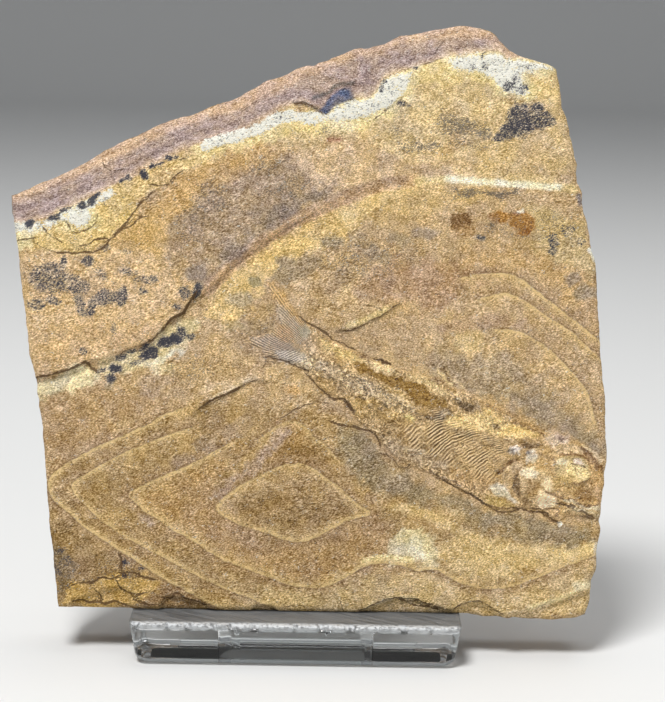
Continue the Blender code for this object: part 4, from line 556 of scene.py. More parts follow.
CRACKS_AND_SHADOW_LINES = [
    ([(-54.2, 61.9), (-52.5, 62.3), (-50.6, 62.5)], 0.7), ([(-47.0, 60.1), (-44.0, 60.2), (-42.0, 60.3), (-40.6, 60.3),
      (-39.6, 60.7), (-38.7, 61.3), (-38.0, 62.2), (-37.2, 63.0), (-36.4, 64.0), (-35.4, 65.2), (-34.4, 66.6),
      (-33.4, 67.9), (-32.4, 68.9), (-31.4, 69.8), (-31.0, 70.4)], 1.0),
    ([(-43.0, 61.3), (-41.5, 61.7), (-40.2, 62.4), (-38.8, 62.6), (-37.8, 62.4)], 0.8),
    ([(-37.6, 62.6), (-36.2, 64.0), (-35.0, 64.5), (-34.1, 65.0), (-33.2, 66.1), (-31.8, 66.6)], 0.8),
    ([(-45.2, 65.0), (-44.4, 63.9), (-43.6, 63.5), (-42.4, 63.8), (-41.0, 64.6), (-40.3, 65.6), (-40.1, 66.4)], 0.6),
    ([(-49.2, 64.4), (-48.2, 63.2), (-47.0, 62.5), (-46.2, 62.0)], 0.6), ([(-51.0, 61.8), (-49.0, 60.9), (-47.0, 60.2)], 0.4),
    ([(-31.0, 71.9), (-29.6, 71.8), (-28.2, 72.1), (-27.5, 73.0), (-26.6, 73.8), (-26.0, 74.2)], 0.7),
    ([(-28.8, 71.6), (-27.8, 72.2), (-27.0, 73.0)], 0.6), ([(-26.2, 76.2), (-25.2, 76.6), (-24.2, 77.0)], 0.5),
    ([(-50.4, 38.9), (-46.0, 39.9), (-44.0, 40.5), (-42.5, 41.2), (-41.8, 41.7), (-41.0, 40.9), (-40.0, 40.2)], 1.3),
    ([(-36.0, 43.2), (-34.4, 44.0), (-32.6, 44.6), (-31.0, 45.4)], 0.5),
    ([(-31.0, 45.4), (-29.4, 46.6), (-28.4, 47.6), (-27.7, 48.9), (-26.4, 49.6), (-25.4, 50.4), (-24.6, 51.6),
      (-23.8, 52.8), (-23.2, 53.8)], 1.3),
    ([(-22.3, 34.2), (-21.2, 35.0), (-20.2, 35.7), (-18.8, 36.3), (-17.2, 36.9), (-15.8, 37.8)], 1.1),
    ([(-15.8, 37.8), (-14.2, 38.7), (-13.0, 39.0)], 0.5),
    ([(-11.6, 41.4), (-11.2, 42.1), (-10.4, 42.4), (-9.8, 42.1)], 0.5),
    ([(-11.6, 43.1), (-10.2, 42.9), (-8.6, 42.5), (-7.0, 41.9), (-5.4, 41.2), (-4.0, 40.6)], 0.9),
    ([(-4.4, 40.2), (-3.0, 38.8), (-1.6, 37.4), (-0.4, 36.5), (0.2, 36.1), (1.8, 36.1), (2.4, 35.6), (3.6, 34.0)], 1.0),
    ([(-8.6, 32.6), (-7.0, 33.6), (-5.4, 34.5), (-4.0, 35.1), (-2.0, 35.4), (-0.6, 35.3)], 0.5),
    ([(2.0, 47.6), (3.6, 48.0), (5.0, 48.7), (6.4, 49.4), (8.2, 50.3), (9.6, 51.3), (10.2, 51.8), (10.8, 52.1)], 0.6),
    ([(5.6, 52.0), (7.0, 51.8), (8.2, 51.2)], 0.4),
    ([(-5.9, 50.1), (-4.6, 49.0), (-3.4, 48.5), (-2.2, 47.8), (-1.0, 47.1), (0.0, 46.1)], 1.1),
    ([(0.0, 46.1), (1.0, 45.8), (2.2, 45.3), (3.6, 44.6)], 0.7), ([(7.6, 42.9), (8.6, 42.7), (9.8, 42.1)], 0.8),
    # The next four lines, along the fish's belly, are a crack and also painted shadow under the raised fish.
    ([(0.0, 32.2), (1.6, 31.6), (3.8, 31.4), (5.2, 30.9), (6.4, 30.7), (7.4, 30.1), (7.9, 29.2), (8.3, 28.4)], 0.9),
    ([(8.4, 26.9), (9.4, 26.8), (10.2, 26.3), (11.0, 25.7), (11.6, 24.9), (12.6, 24.6), (13.2, 25.1)], 0.8),
    ([(18.0, 23.0), (19.4, 22.5), (21.0, 21.6), (22.6, 20.8), (24.4, 19.9), (26.0, 18.9), (27.4, 18.0), (28.6, 17.5),
      (30.4, 17.3), (32.0, 17.9)], 0.8),
    ([(34.0, 17.6), (35.4, 17.5), (36.4, 17.5), (37.2, 16.6), (38.0, 16.0), (38.6, 15.8)], 0.8),
    ([(5.2, 0.2), (7.0, 0.9), (9.0, 1.9), (11.0, 2.5), (14.4, 2.4), (16.4, 1.7), (18.6, 1.2), (20.6, 0.5)], 0.7),
    ([(21.2, 0.9), (22.6, 1.6), (24.4, 2.2), (26.0, 2.1), (27.2, 1.4), (28.6, 0.4), (29.4, 0.1)], 0.6),
    ([(11.6, 2.4), (13.4, 1.8), (15.0, 1.2), (17.5, 1.0), (20.0, 0.2)], 0.7),
    ([(1.9, 1.9), (2.2, 1.2), (2.5, 0.2)], 0.5), ([(-8.0, 0.4), (-6.0, 0.8), (-3.5, 0.9), (-1.5, 0.4)], 0.4),
    ([(-43.0, 1.0), (-42.0, 1.3), (-41.0, 0.9), (-39.4, 1.1), (-38.0, 0.7), (-36.4, 1.0), (-34.6, 0.6)], 1.2),
    ([(-28.0, 2.0), (-26.6, 1.8), (-26.2, 2.5), (-25.2, 2.6), (-24.2, 1.8), (-22.6, 1.6), (-21.0, 0.9)], 0.9),
    ([(-33.0, 2.4), (-31.6, 1.2), (-29.0, 0.6)], 0.5), ([(-44.0, 3.4), (-42.4, 4.2), (-40.2, 4.4), (-38.6, 5.2),
      (-36.6, 5.0), (-35.2, 5.8), (-33.4, 6.2), (-31.6, 5.4), (-29.6, 5.0)], 1.0),
    ([(-35.6, 9.2), (-35.2, 8.0), (-35.4, 6.8), (-34.9, 5.6)], 0.9), ([(-40.4, 3.8), (-39.0, 2.6), (-38.4, 1.4)], 0.7),
    ([(-36.0, 4.6), (-35.0, 3.2), (-33.2, 2.6), (-31.0, 2.8)], 0.8), ([(-33.6, 2.4), (-32.4, 1.2), (-30.4, 0.8)], 0.7), ([(6.7, 83.8), (8.0, 84.9), (9.4, 85.8), (10.4, 86.5)], 0.5),
    ([(-39.6, 75.6), (-38.8, 74.7), (-37.6, 74.2), (-36.2, 74.4)], 0.5), ([(18.2, 97.4), (17.0, 95.6), (16.4, 94.6)], 0.4),
    ([(28.4, 74.2), (29.0, 74.6), (29.4, 75.6)], 0.4), ([(15.0, 93.0), (16.4, 93.6), (17.6, 94.0)], 0.5),
    ([(14.4, 7.1), (16.0, 7.0), (17.4, 7.2)], 0.5), ([(-6.8, 86.0), (-5.0, 86.0), (-3.8, 85.3), (-2.6, 84.7)], 0.8)]


def beyond_rim(plan):
    """Distance above the broken slope's start, in mm, negative on the flat face below it."""
    return line_distance(plan, RIM)


def painted(plan):
    """Colour and growth at each plan point, as named arrays.

    Colour starts tan and is mixed toward each zone, stroke and stain in turn, each with a soft edge that
    wanders with the mottle. Lines, rings and growth are kept as distances and amounts, which the material
    turns into crisp marks.
    """
    wander = np.stack([mottle(plan, 3.6, 21, 4), mottle(plan, 3.6, 22, 4)], axis=1)
    fine = np.stack([mottle(plan, 0.9, 23, 2), mottle(plan, 0.9, 24, 2)], axis=1)
    loose = plan + 1.1 * wander + 0.55 * fine
    close = plan + 0.10 * wander + 0.12 * fine
    colour = np.tile(tone(194, 165, 122), (len(plan), 1))

    def mix(shade, amount):
        nonlocal colour
        colour = colour + (tone(*shade) - colour) * np.clip(amount, 0.0, 1.0)[:, None]

    speckle = mottle(plan, 0.8, 25, 2) + 0.7 * mottle(plan, 2.4, 26, 3)
    for polygon, shade, soft, strength in ZONES:
        border = depth_inside(loose, smoothed(polygon + polygon[:1], 1.0)[:-1], soft + 1.5)
        mix(shade, strength * ease(border + 0.6 * soft * speckle, -0.7 * soft, 0.7 * soft))
    drift = mottle(plan, 6.5, 28, 4)
    mix((178, 152, 130), 0.32 * ease(drift, 0.1, 1.1))
    mix((214, 180, 118), 0.30 * ease(-drift, 0.1, 1.1))
    colour = colour * (1.0 + 0.10 * mottle(plan, 2.2, 29, 3))[:, None]
    for line, shade, half, soft, strength in STROKES:
        gap = np.abs(line_distance(close, smoothed(line, 1.0), half + soft + 0.5))
        mix(shade, strength * (1 - ease(gap, half, half + soft)))
    for centre, radii, turn, shade, strength in STAINS:
        reach = ellipse_radius(plan + 0.5 * wander + 0.25 * fine, centre, radii, turn)
        mix(0.94 * np.array(shade), 1.25 * strength * (1 - ease(reach + 0.3 * speckle, 0.7, 1.2)))

    ring = np.full(len(plan), 9.0)
    ring_shown = np.zeros(len(plan))
    for line, strength, width in zip(RINGS, RING_STRENGTH, RING_WIDTH):
        away = line_distance(close, smoothed(line, 0.8), 5.0)
        gap = np.abs(away)
        inner = (away < 0) * (1 - ease(gap, 0.2, width * 1.5))
        outer = (away > 0) * (1 - ease(gap, 0.1, 2.4))
        mix((214, 184, 130), 0.45 * strength * inner)
        mix((160, 130, 100), 0.40 * strength * outer)
        nearer = gap < np.abs(ring)
        ring = np.where(nearer, away, ring)
        ring_shown = np.where(nearer, strength * (1 - ease(gap, 0.5, 1.2)), ring_shown)

    rim = beyond_rim(close)
    drift = mottle(plan, 6.0, 31, 3, stretch=2.5, turn=27.0)
    band = ease(rim, -0.1, 0.35)
    layer = rim + 0.9 * drift
    purple = tone(166, 145, 135) + 0.0 * plan[:, :1]
    purple = purple + (tone(190, 163, 143) - purple) * ease(drift, 0.2, 1.2)[:, None]
    purple = purple + (tone(146, 124, 122) - purple) * ease(-drift, 0.2, 1.1)[:, None] * 0.8
    crest = ease(-edge_gap(plan) + 2.6 + 0.8 * drift, 0.0, 1.6)
    purple = purple + (tone(201, 170, 142) - purple) * crest[:, None] * 0.85
    sill = 1 - ease(rim, 0.3, 1.3)
    purple = purple + (tone(206, 178, 146) - purple) * sill[:, None] * 0.6
    colour = colour + (purple - colour) * band[:, None]
    colour = colour + (tone(138, 118, 112) - colour) * (0.45 * band * (1 - ease(np.abs(layer - 2.4), 0.2, 1.0)))[:, None]

    crust = np.zeros(len(plan))
    for patch in CRUST:
        crust = np.maximum(crust, ease(depth_inside(close, patch, 2.0), -0.7, 0.6))
        halo = ease(depth_inside(loose, patch, 3.0) + 0.5 * speckle, -2.0, 0.2)
        colour = colour + (tone(243, 229, 180) - colour) * (0.85 * halo * (1 - 0.8 * band))[:, None]
    under = line_distance(close, smoothed(CRUST_LINE, 1.0), 3.0)
    crust = np.maximum(crust, 0.95 * (1 - ease(np.abs(under), 0.5, 1.5)))
    crust = np.maximum(crust, 0.85 * (1 - ease(np.abs(line_distance(close, smoothed(CRUST_STRIP, 1.0), 3.0)), 0.35, 1.3)))

    black = np.zeros(len(plan))
    for centre, radii, turn, amount in BLACK:
        near = ellipse_radius(plan + 0.35 * wander + 0.25 * fine, centre, radii, turn)
        thick = 0.28 + 0.28 * amount if amount > 0.85 else 0.235 + 0.39 * amount
        black = np.maximum(black, thick * (1 - ease(near, 0.55, 1.6)))
    grey = np.zeros(len(plan))
    for centre, radii, turn, amount in GREY:
        grey = np.maximum(grey, amount * (1 - ease(ellipse_radius(loose, centre, radii, turn), 0.5, 1.3)))
    mix((166, 156, 142), 0.75 * ease(black, 0.28, 0.52) * ease(plan[:, 1], 12.0, 30.0))
    blue = ease(depth_inside(close, BLUE_PATCH, 2.0), -0.15, 0.3)
    for seam in DARK_SEAMS:
        mix((88, 86, 84), 0.8 * (1 - ease(np.abs(line_distance(close + 0.2 * fine, smoothed(seam, 1.0), 1.0)), 0.1, 0.5)))
    mix((58, 73, 106), blue * (0.85 + 0.3 * fine[:, 0]))
    crust *= 1 - blue

    crack = np.full(len(plan), 9.0)
    crack_shown = np.zeros(len(plan))
    for line, strength in CRACKS_AND_SHADOW_LINES:
        away = line_distance(close, smoothed(line, 0.5), 2.0)
        gap = np.abs(away)
        nearer = gap < np.abs(crack)
        crack = np.where(nearer, away, crack)
        crack_shown = np.where(nearer, strength * (1 - ease(gap, 0.35, 0.8)), crack_shown)
    colour = fish_paint(plan, close, colour)
    spine = 1 - ease(np.abs(line_distance(plan, SPINE_RUBBLE, 3.0)), 0.7, 1.8)
    grey = np.maximum(grey, 0.3 * spine)
    lines = np.stack([crack, ring, rim], axis=1)
    shown = np.stack([crack_shown, ring_shown, band], axis=1)
    growth = np.stack([black, grey, crust], axis=1)
    return colour, lines, shown, growth


CRUST_LINE = [(-22.0, 78.6), (-20.0, 79.4), (-17.0, 80.3), (-14.0, 81.2), (-11.5, 82.6), (-9.5, 83.6), (-7.0, 83.9),
              (-5.0, 83.6), (-3.0, 83.8)]
CRUST_STRIP = [(-54.4, 64.3), (-51.0, 64.4), (-49.0, 64.7), (-46.0, 66.3), (-43.0, 67.5), (-40.0, 69.2), (-38.0, 70.3)]
BLUE_PATCH = [(-3.1, 84.9), (-2.7, 85.6), (-1.9, 86.1), (-1.6, 86.8), (-0.8, 87.8), (0.2, 88.5), (1.2, 89.1), (2.3, 89.1),
              (2.6, 88.3), (3.0, 87.2), (2.9, 86.7), (2.0, 86.7), (1.2, 86.2), (0.3, 85.8), (-0.4, 85.3), (-1.2, 84.3),
              (-2.0, 84.0)]
DARK_SEAMS = [[(-4.0, 87.2), (-2.4, 88.0), (-1.0, 88.5), (-0.3, 89.3), (1.2, 89.8), (2.7, 90.1)],
              [(-7.2, 86.2), (-5.4, 86.0), (-4.2, 85.5), (-3.0, 84.9)], [(1.6, 86.7), (2.4, 86.8), (3.0, 86.7)]]


def edge_gap(plan):
    """Distance in from the slab's top edge, in mm."""
    return np.abs(line_distance(plan, TOP_EDGE))


AMBER = [(3.0, 42.2), (4.5, 42.4), (6, 41.9), (6.5, 41.3), (8, 40.6), (9.5, 40.2), (11, 40), (12, 40.1), (12.4, 39.3), (14, 39.1), (15.5, 38.8), (16.2, 38.1), (16.8, 37.2), (17.5, 36.8), (18, 36.3), (19, 36), (20, 35.6), (19.6, 35), (19, 34.8), (18, 35.1), (17, 34.6), (16, 34.8), (15, 35.2), (14.4, 34.8), (14, 35.7), (13.2, 36.5), (13, 37.5), (11.5, 38), (10, 38.2), (9, 38.9), (7.6, 39.5), (6.6, 40.2), (6, 40.8), (5, 40.3), (4, 40.8), (4.6, 41.6)]
FISH_ZONES = [
    (FISH_BODY, (190, 154, 99), 0.5, 0.9), (FISH_TAIL, (186, 156, 118), 0.4, 0.8),
    ([(-9.8, 51.4), (-7.2, 51.2), (-4.6, 48.6), (-4.6, 46), (-6, 45.6), (-9.2, 49)], (184, 164, 138), 0.3, 0.8),
    ([(-11.4, 55.8), (-10.2, 55.8), (-7.9, 53), (-5.8, 50.2), (-4, 48.6), (-5.4, 48.4), (-7.6, 50.8), (-10, 53)],
     (204, 164, 100), 0.3, 0.85),
    ([(-9.2, 48.4), (-8, 48.6), (-6.6, 46.6), (-7.6, 45.6), (-9.6, 46.2)], (184, 146, 100), 0.4, 0.7),
    ([(-5.9, 48), (-4.6, 48.4), (-3.8, 47.4), (-4.4, 46.6), (-5.6, 46.6)], (190, 180, 150), 0.3, 0.7),
    ([(-14.4, 46.4), (-10, 46.4), (-7, 45.4), (-5.6, 44.2), (-8, 43.6), (-12, 44)], (182, 160, 140), 0.3, 0.9),
    (LOWER_RAYS, (190, 178, 166), 0.3, 0.9),
    ([(-11.8, 43.8), (-9.6, 43.6), (-9.4, 42.9), (-11.7, 43.2)], (206, 176, 138), 0.2, 0.85),
    ([(-6.4, 42), (-3.6, 43), (-1, 42.4), (-1.4, 41), (-4.4, 40.9)], (206, 184, 152), 0.3, 0.85),
    ([(-2.2, 46.6), (-0.5, 45.6), (2, 44.4), (5, 43.3), (6, 42), (3.4, 42.4), (0.6, 43.6), (-2, 44.6)],
     (216, 186, 124), 0.35, 0.85),
    ([(6, 43), (8, 42.4), (10.4, 41.6), (11.6, 40.6), (9.4, 40.5), (7, 41.2)], (222, 194, 142), 0.3, 0.85),
    ([(-3.4, 43.2), (0, 42), (4, 40.2), (8, 38.4), (12, 36.2), (13.8, 34.4), (12, 33.8), (8, 35.6), (4, 37.4), (0, 39.6),
      (-3.8, 41.2)], (196, 167, 126), 0.5, 0.8),
    ([(12.4, 40.7), (16, 40.2), (18.4, 38.6), (20, 37), (18.4, 36.6), (16.4, 38.4), (13.6, 39.5)], (206, 178, 128), 0.3, 0.8),
    ([(15.6, 39.8), (17.6, 40), (19, 39.2), (19.9, 38.5), (18.4, 39), (17, 39.3)], (132, 102, 72), 0.2, 0.8),
    (AMBER, (163, 121, 44), 0.15, 1.0),
    ([(6.2, 40), (9, 38.4), (12.4, 37.4), (12.8, 36.4), (10.6, 37.4), (8, 38.8)], (206, 172, 108), 0.3, 0.8),
    ([(2, 36.4), (5, 36.8), (9, 35.6), (13, 33.6), (14, 31.8), (9, 32.2), (5, 33), (3.4, 34.6)], (192, 154, 88), 0.5, 0.8),
    ([(7.6, 34.8), (8.4, 35.1), (9, 34.6), (8.2, 34.3)], (134, 100, 54), 0.2, 0.8),
    ([(6, 35.2), (6.8, 35.5), (7.2, 35), (6.4, 34.7)], (150, 118, 66), 0.2, 0.7),
    ([(4.6, 36.6), (5.6, 36.9), (6, 36.4), (5, 36)], (124, 98, 66), 0.2, 0.8),
    ([(8.2, 32.5), (10, 33), (13, 33.1), (12.6, 32.6), (10.4, 32.3)], (158, 118, 54), 0.2, 0.85),
    ([(8.2, 31.4), (9.4, 32), (11.2, 32), (12.4, 31.5), (10, 31.3)], (162, 122, 58), 0.2, 0.8),
    ([(10.6, 30.2), (12, 30.9), (13.2, 30.6), (12.6, 29.8), (11.4, 29.6)], (174, 132, 66), 0.3, 0.8),
    ([(12.2, 33.2), (13, 33.6), (14, 33), (13.4, 32.3)], (226, 204, 132), 0.3, 0.8),
    ([(4, 31.2), (8, 30.4), (12, 28.6), (17, 26.8), (20, 25.6), (20, 24.2), (16, 24.8), (13, 25.2), (11, 25.2), (9, 26.9),
      (8, 29)], (174, 146, 110), 0.5, 0.8),
    ([(20.6, 36.4), (21.5, 36.6), (22.4, 35.9), (24, 35.6), (24.2, 34.6), (23.3, 34.3), (22, 34.9), (21.2, 35.6)],
     (138, 106, 62), 0.2, 0.9),
    ([(24, 36.2), (25.2, 36), (25.4, 34.6), (24.2, 34.2)], (160, 132, 100), 0.3, 0.7),
    ([(15.8, 33.4), (17.6, 34.1), (18.4, 33.2), (16.8, 32.9)], (134, 100, 56), 0.2, 0.85),
    ([(18, 33), (19.2, 33.1), (20.2, 34), (20, 34.8), (18.6, 34.6), (17.8, 33.8)], (120, 92, 62), 0.2, 0.8),
    ([(18.4, 33.5), (19.4, 33.7), (19.6, 34.3), (18.7, 34.2)], (198, 170, 130), 0.2, 0.8),
    ([(19.6, 33.6), (24, 34), (27, 34.8), (28, 33.6), (30, 32.6), (33, 31.6), (35, 30.6), (33.6, 29.9), (30, 30),
      (26, 30.7), (22, 31.6), (19, 32.4)], (216, 184, 118), 0.4, 0.9),
    ([(27.2, 31.9), (27.6, 32.6), (28.4, 32.2), (28.5, 31.3), (27.8, 31.2)], (142, 108, 58), 0.2, 0.85),
    ([(28.6, 32.4), (29.2, 32.9), (29.8, 32.6), (29.2, 32.2)], (146, 112, 62), 0.2, 0.7),
    ([(20, 31.6), (22.4, 31.4), (24, 30.4), (23, 30), (20.6, 30.8)], (150, 120, 76), 0.4, 0.6),
    ([(15.2, 28), (17, 28.9), (18.4, 29.4), (17.6, 28.2), (16, 27.4)], (152, 112, 52), 0.3, 0.8),
    ([(18.6, 27.4), (20, 28.4), (21, 28.8), (20.2, 27.5), (19.4, 26.8)], (164, 126, 72), 0.3, 0.6),
    ([(20, 24.6), (24, 24.4), (27.6, 23), (27, 20.8), (23.6, 21), (20.6, 22.6)], (192, 152, 98), 0.5, 0.7),
    ([(26, 30), (30, 29.8), (34, 29.6), (36, 28.9), (34, 28.2), (31, 28.6), (27, 28.7)], (172, 138, 86), 0.35, 0.8),
    ([(28.8, 24), (30, 25.4), (31.4, 26.1), (32.4, 25.6), (31.6, 24.4), (30.4, 23.4), (30, 21.4), (29.2, 22.6)],
     (190, 160, 118), 0.25, 0.85),
    ([(30.6, 23.5), (31.6, 23.8), (32.2, 22.8), (32, 21.6), (32.2, 19.4), (31.7, 19.8), (31.2, 21), (30.7, 22)],
     (132, 98, 54), 0.12, 0.75),
    ([(31.8, 23.8), (32.3, 25), (34, 25.3), (35.4, 24.8), (37.2, 24.4), (38, 22.6), (37.8, 20.8), (38.6, 19), (36, 18.2),
      (33.6, 18.6), (32.4, 19.6), (32.2, 22)], (198, 168, 120), 0.25, 0.9),
    ([(31.8, 24), (32.4, 25.1), (34, 25.1), (35, 24.2), (34.2, 23.4), (32.8, 23.3)], (216, 200, 168), 0.25, 0.9),
    ([(33, 20.4), (33.2, 22.4), (34.6, 23.2), (35.6, 22.2), (35.4, 20.8), (34.2, 19.8)], (172, 134, 78), 0.35, 0.85),
    ([(32.4, 18.6), (32.4, 20), (33.8, 19.6), (34.2, 18.6)], (150, 114, 64), 0.25, 0.85),
    ([(35.6, 21), (35.9, 22.8), (36.4, 24), (37.4, 23.2), (37.6, 21.6), (36.6, 20.9)], (222, 200, 166), 0.25, 0.85),
    ([(34.8, 19.8), (35.4, 20.9), (37, 20.4), (38.4, 19.6), (38.6, 18.6), (36.4, 18.3), (35, 18.8)],
     (224, 203, 170), 0.3, 0.85),
    ([(27, 21), (27.2, 22.4), (28.6, 22.4), (30, 21.8), (30.4, 20.6), (31.8, 19), (31.2, 18.8), (29.8, 20), (28, 20.4)],
     (206, 194, 172), 0.25, 0.9),
    ([(26.2, 18.9), (26.6, 20), (29, 20.1), (30.6, 19), (31, 18.4), (28.6, 18.2)], (192, 162, 98), 0.25, 0.85),
    ([(30.3, 27.2), (30.4, 28.1), (31.4, 28.5), (32.2, 28.1), (31.8, 27.2)], (214, 202, 186), 0.2, 0.9),
    ([(29.9, 27.6), (30.2, 28.1), (30.9, 27.8), (31, 27.2)], (112, 90, 72), 0.12, 0.85),
    ([(33.3, 26), (33.2, 27.2), (33.8, 28.2), (34.7, 28), (34.8, 26.4), (34, 25.9)], (204, 190, 164), 0.2, 0.85),
    ([(33.1, 27.2), (33.4, 28), (34, 27.8), (33.7, 27.2)], (96, 86, 84), 0.12, 0.85),
    ([(31.6, 28.3), (33, 29), (35.6, 29), (34.8, 28.4), (33, 28.1)], (138, 106, 66), 0.25, 0.8),
    ([(36.2, 29), (36.6, 30.4), (38, 30.9), (40.4, 30.5), (39.6, 29.2), (37.8, 28.4)], (208, 184, 158), 0.25, 0.8),
    ([(37.8, 30), (38.6, 30.5), (40, 30.3), (39.2, 29.6)], (160, 130, 108), 0.2, 0.8),
    ([(37.6, 27.4), (38, 28.6), (41, 29), (43.4, 28.4), (42.4, 27.6), (40, 27.6)], (198, 170, 130), 0.3, 0.8),
    ([(43.4, 22.4), (43.6, 26), (45, 26.8), (46.2, 24.8), (46.3, 22), (44.6, 21.8)], (200, 160, 102), 0.3, 0.85),
    ([(37.8, 25), (38, 26.7), (39.8, 27), (42.6, 27), (44, 25.4), (44, 24.2), (42.6, 23), (40, 22.6), (38.2, 23.4)],
     (202, 177, 126), 0.25, 0.95),
    ([(39.8, 24.4), (39.9, 26.2), (41, 25.6), (43.4, 25.4), (43.8, 24.6), (42.4, 23.5), (40.6, 23.4)],
     (220, 197, 140), 0.3, 0.95),
    ([(38.1, 25.8), (38.6, 26.7), (39.8, 26.4), (39.6, 25.6)], (218, 203, 170), 0.2, 0.9),
    ([(40.8, 25.9), (41.2, 26.8), (42.4, 26.7), (42.9, 25.7), (42, 25.5)], (218, 198, 176), 0.15, 0.9),
    ([(41.0, 24.5), (41.2, 25.0), (41.6, 24.9), (41.7, 24.4), (41.3, 24.3)], (168, 142, 88), 0.12, 0.9),
    ([(37.9, 22.2), (38, 24), (39.6, 24), (41.4, 23), (41, 22.2), (39.4, 21.8)], (186, 154, 94), 0.35, 0.75),
    ([(41.3, 20.4), (42, 21.8), (44, 21.6), (44.6, 20.4), (43.8, 19.2), (41.8, 19.5)], (164, 121, 60), 0.25, 0.9),
    ([(44.6, 19), (44.8, 22), (46.1, 22), (46, 18.6)], (204, 166, 118), 0.25, 0.8),
    ([(36.4, 17.8), (37, 18.4), (38.8, 18.2), (39, 16.8), (38.7, 15.8), (37.8, 16.4)], (202, 170, 130), 0.2, 0.85),
    ([(39.2, 17.6), (41, 17.6), (43, 16.6), (45.4, 16.4), (45, 17.2), (42.8, 18), (40.6, 18.5)], (196, 170, 128), 0.25, 0.8)]

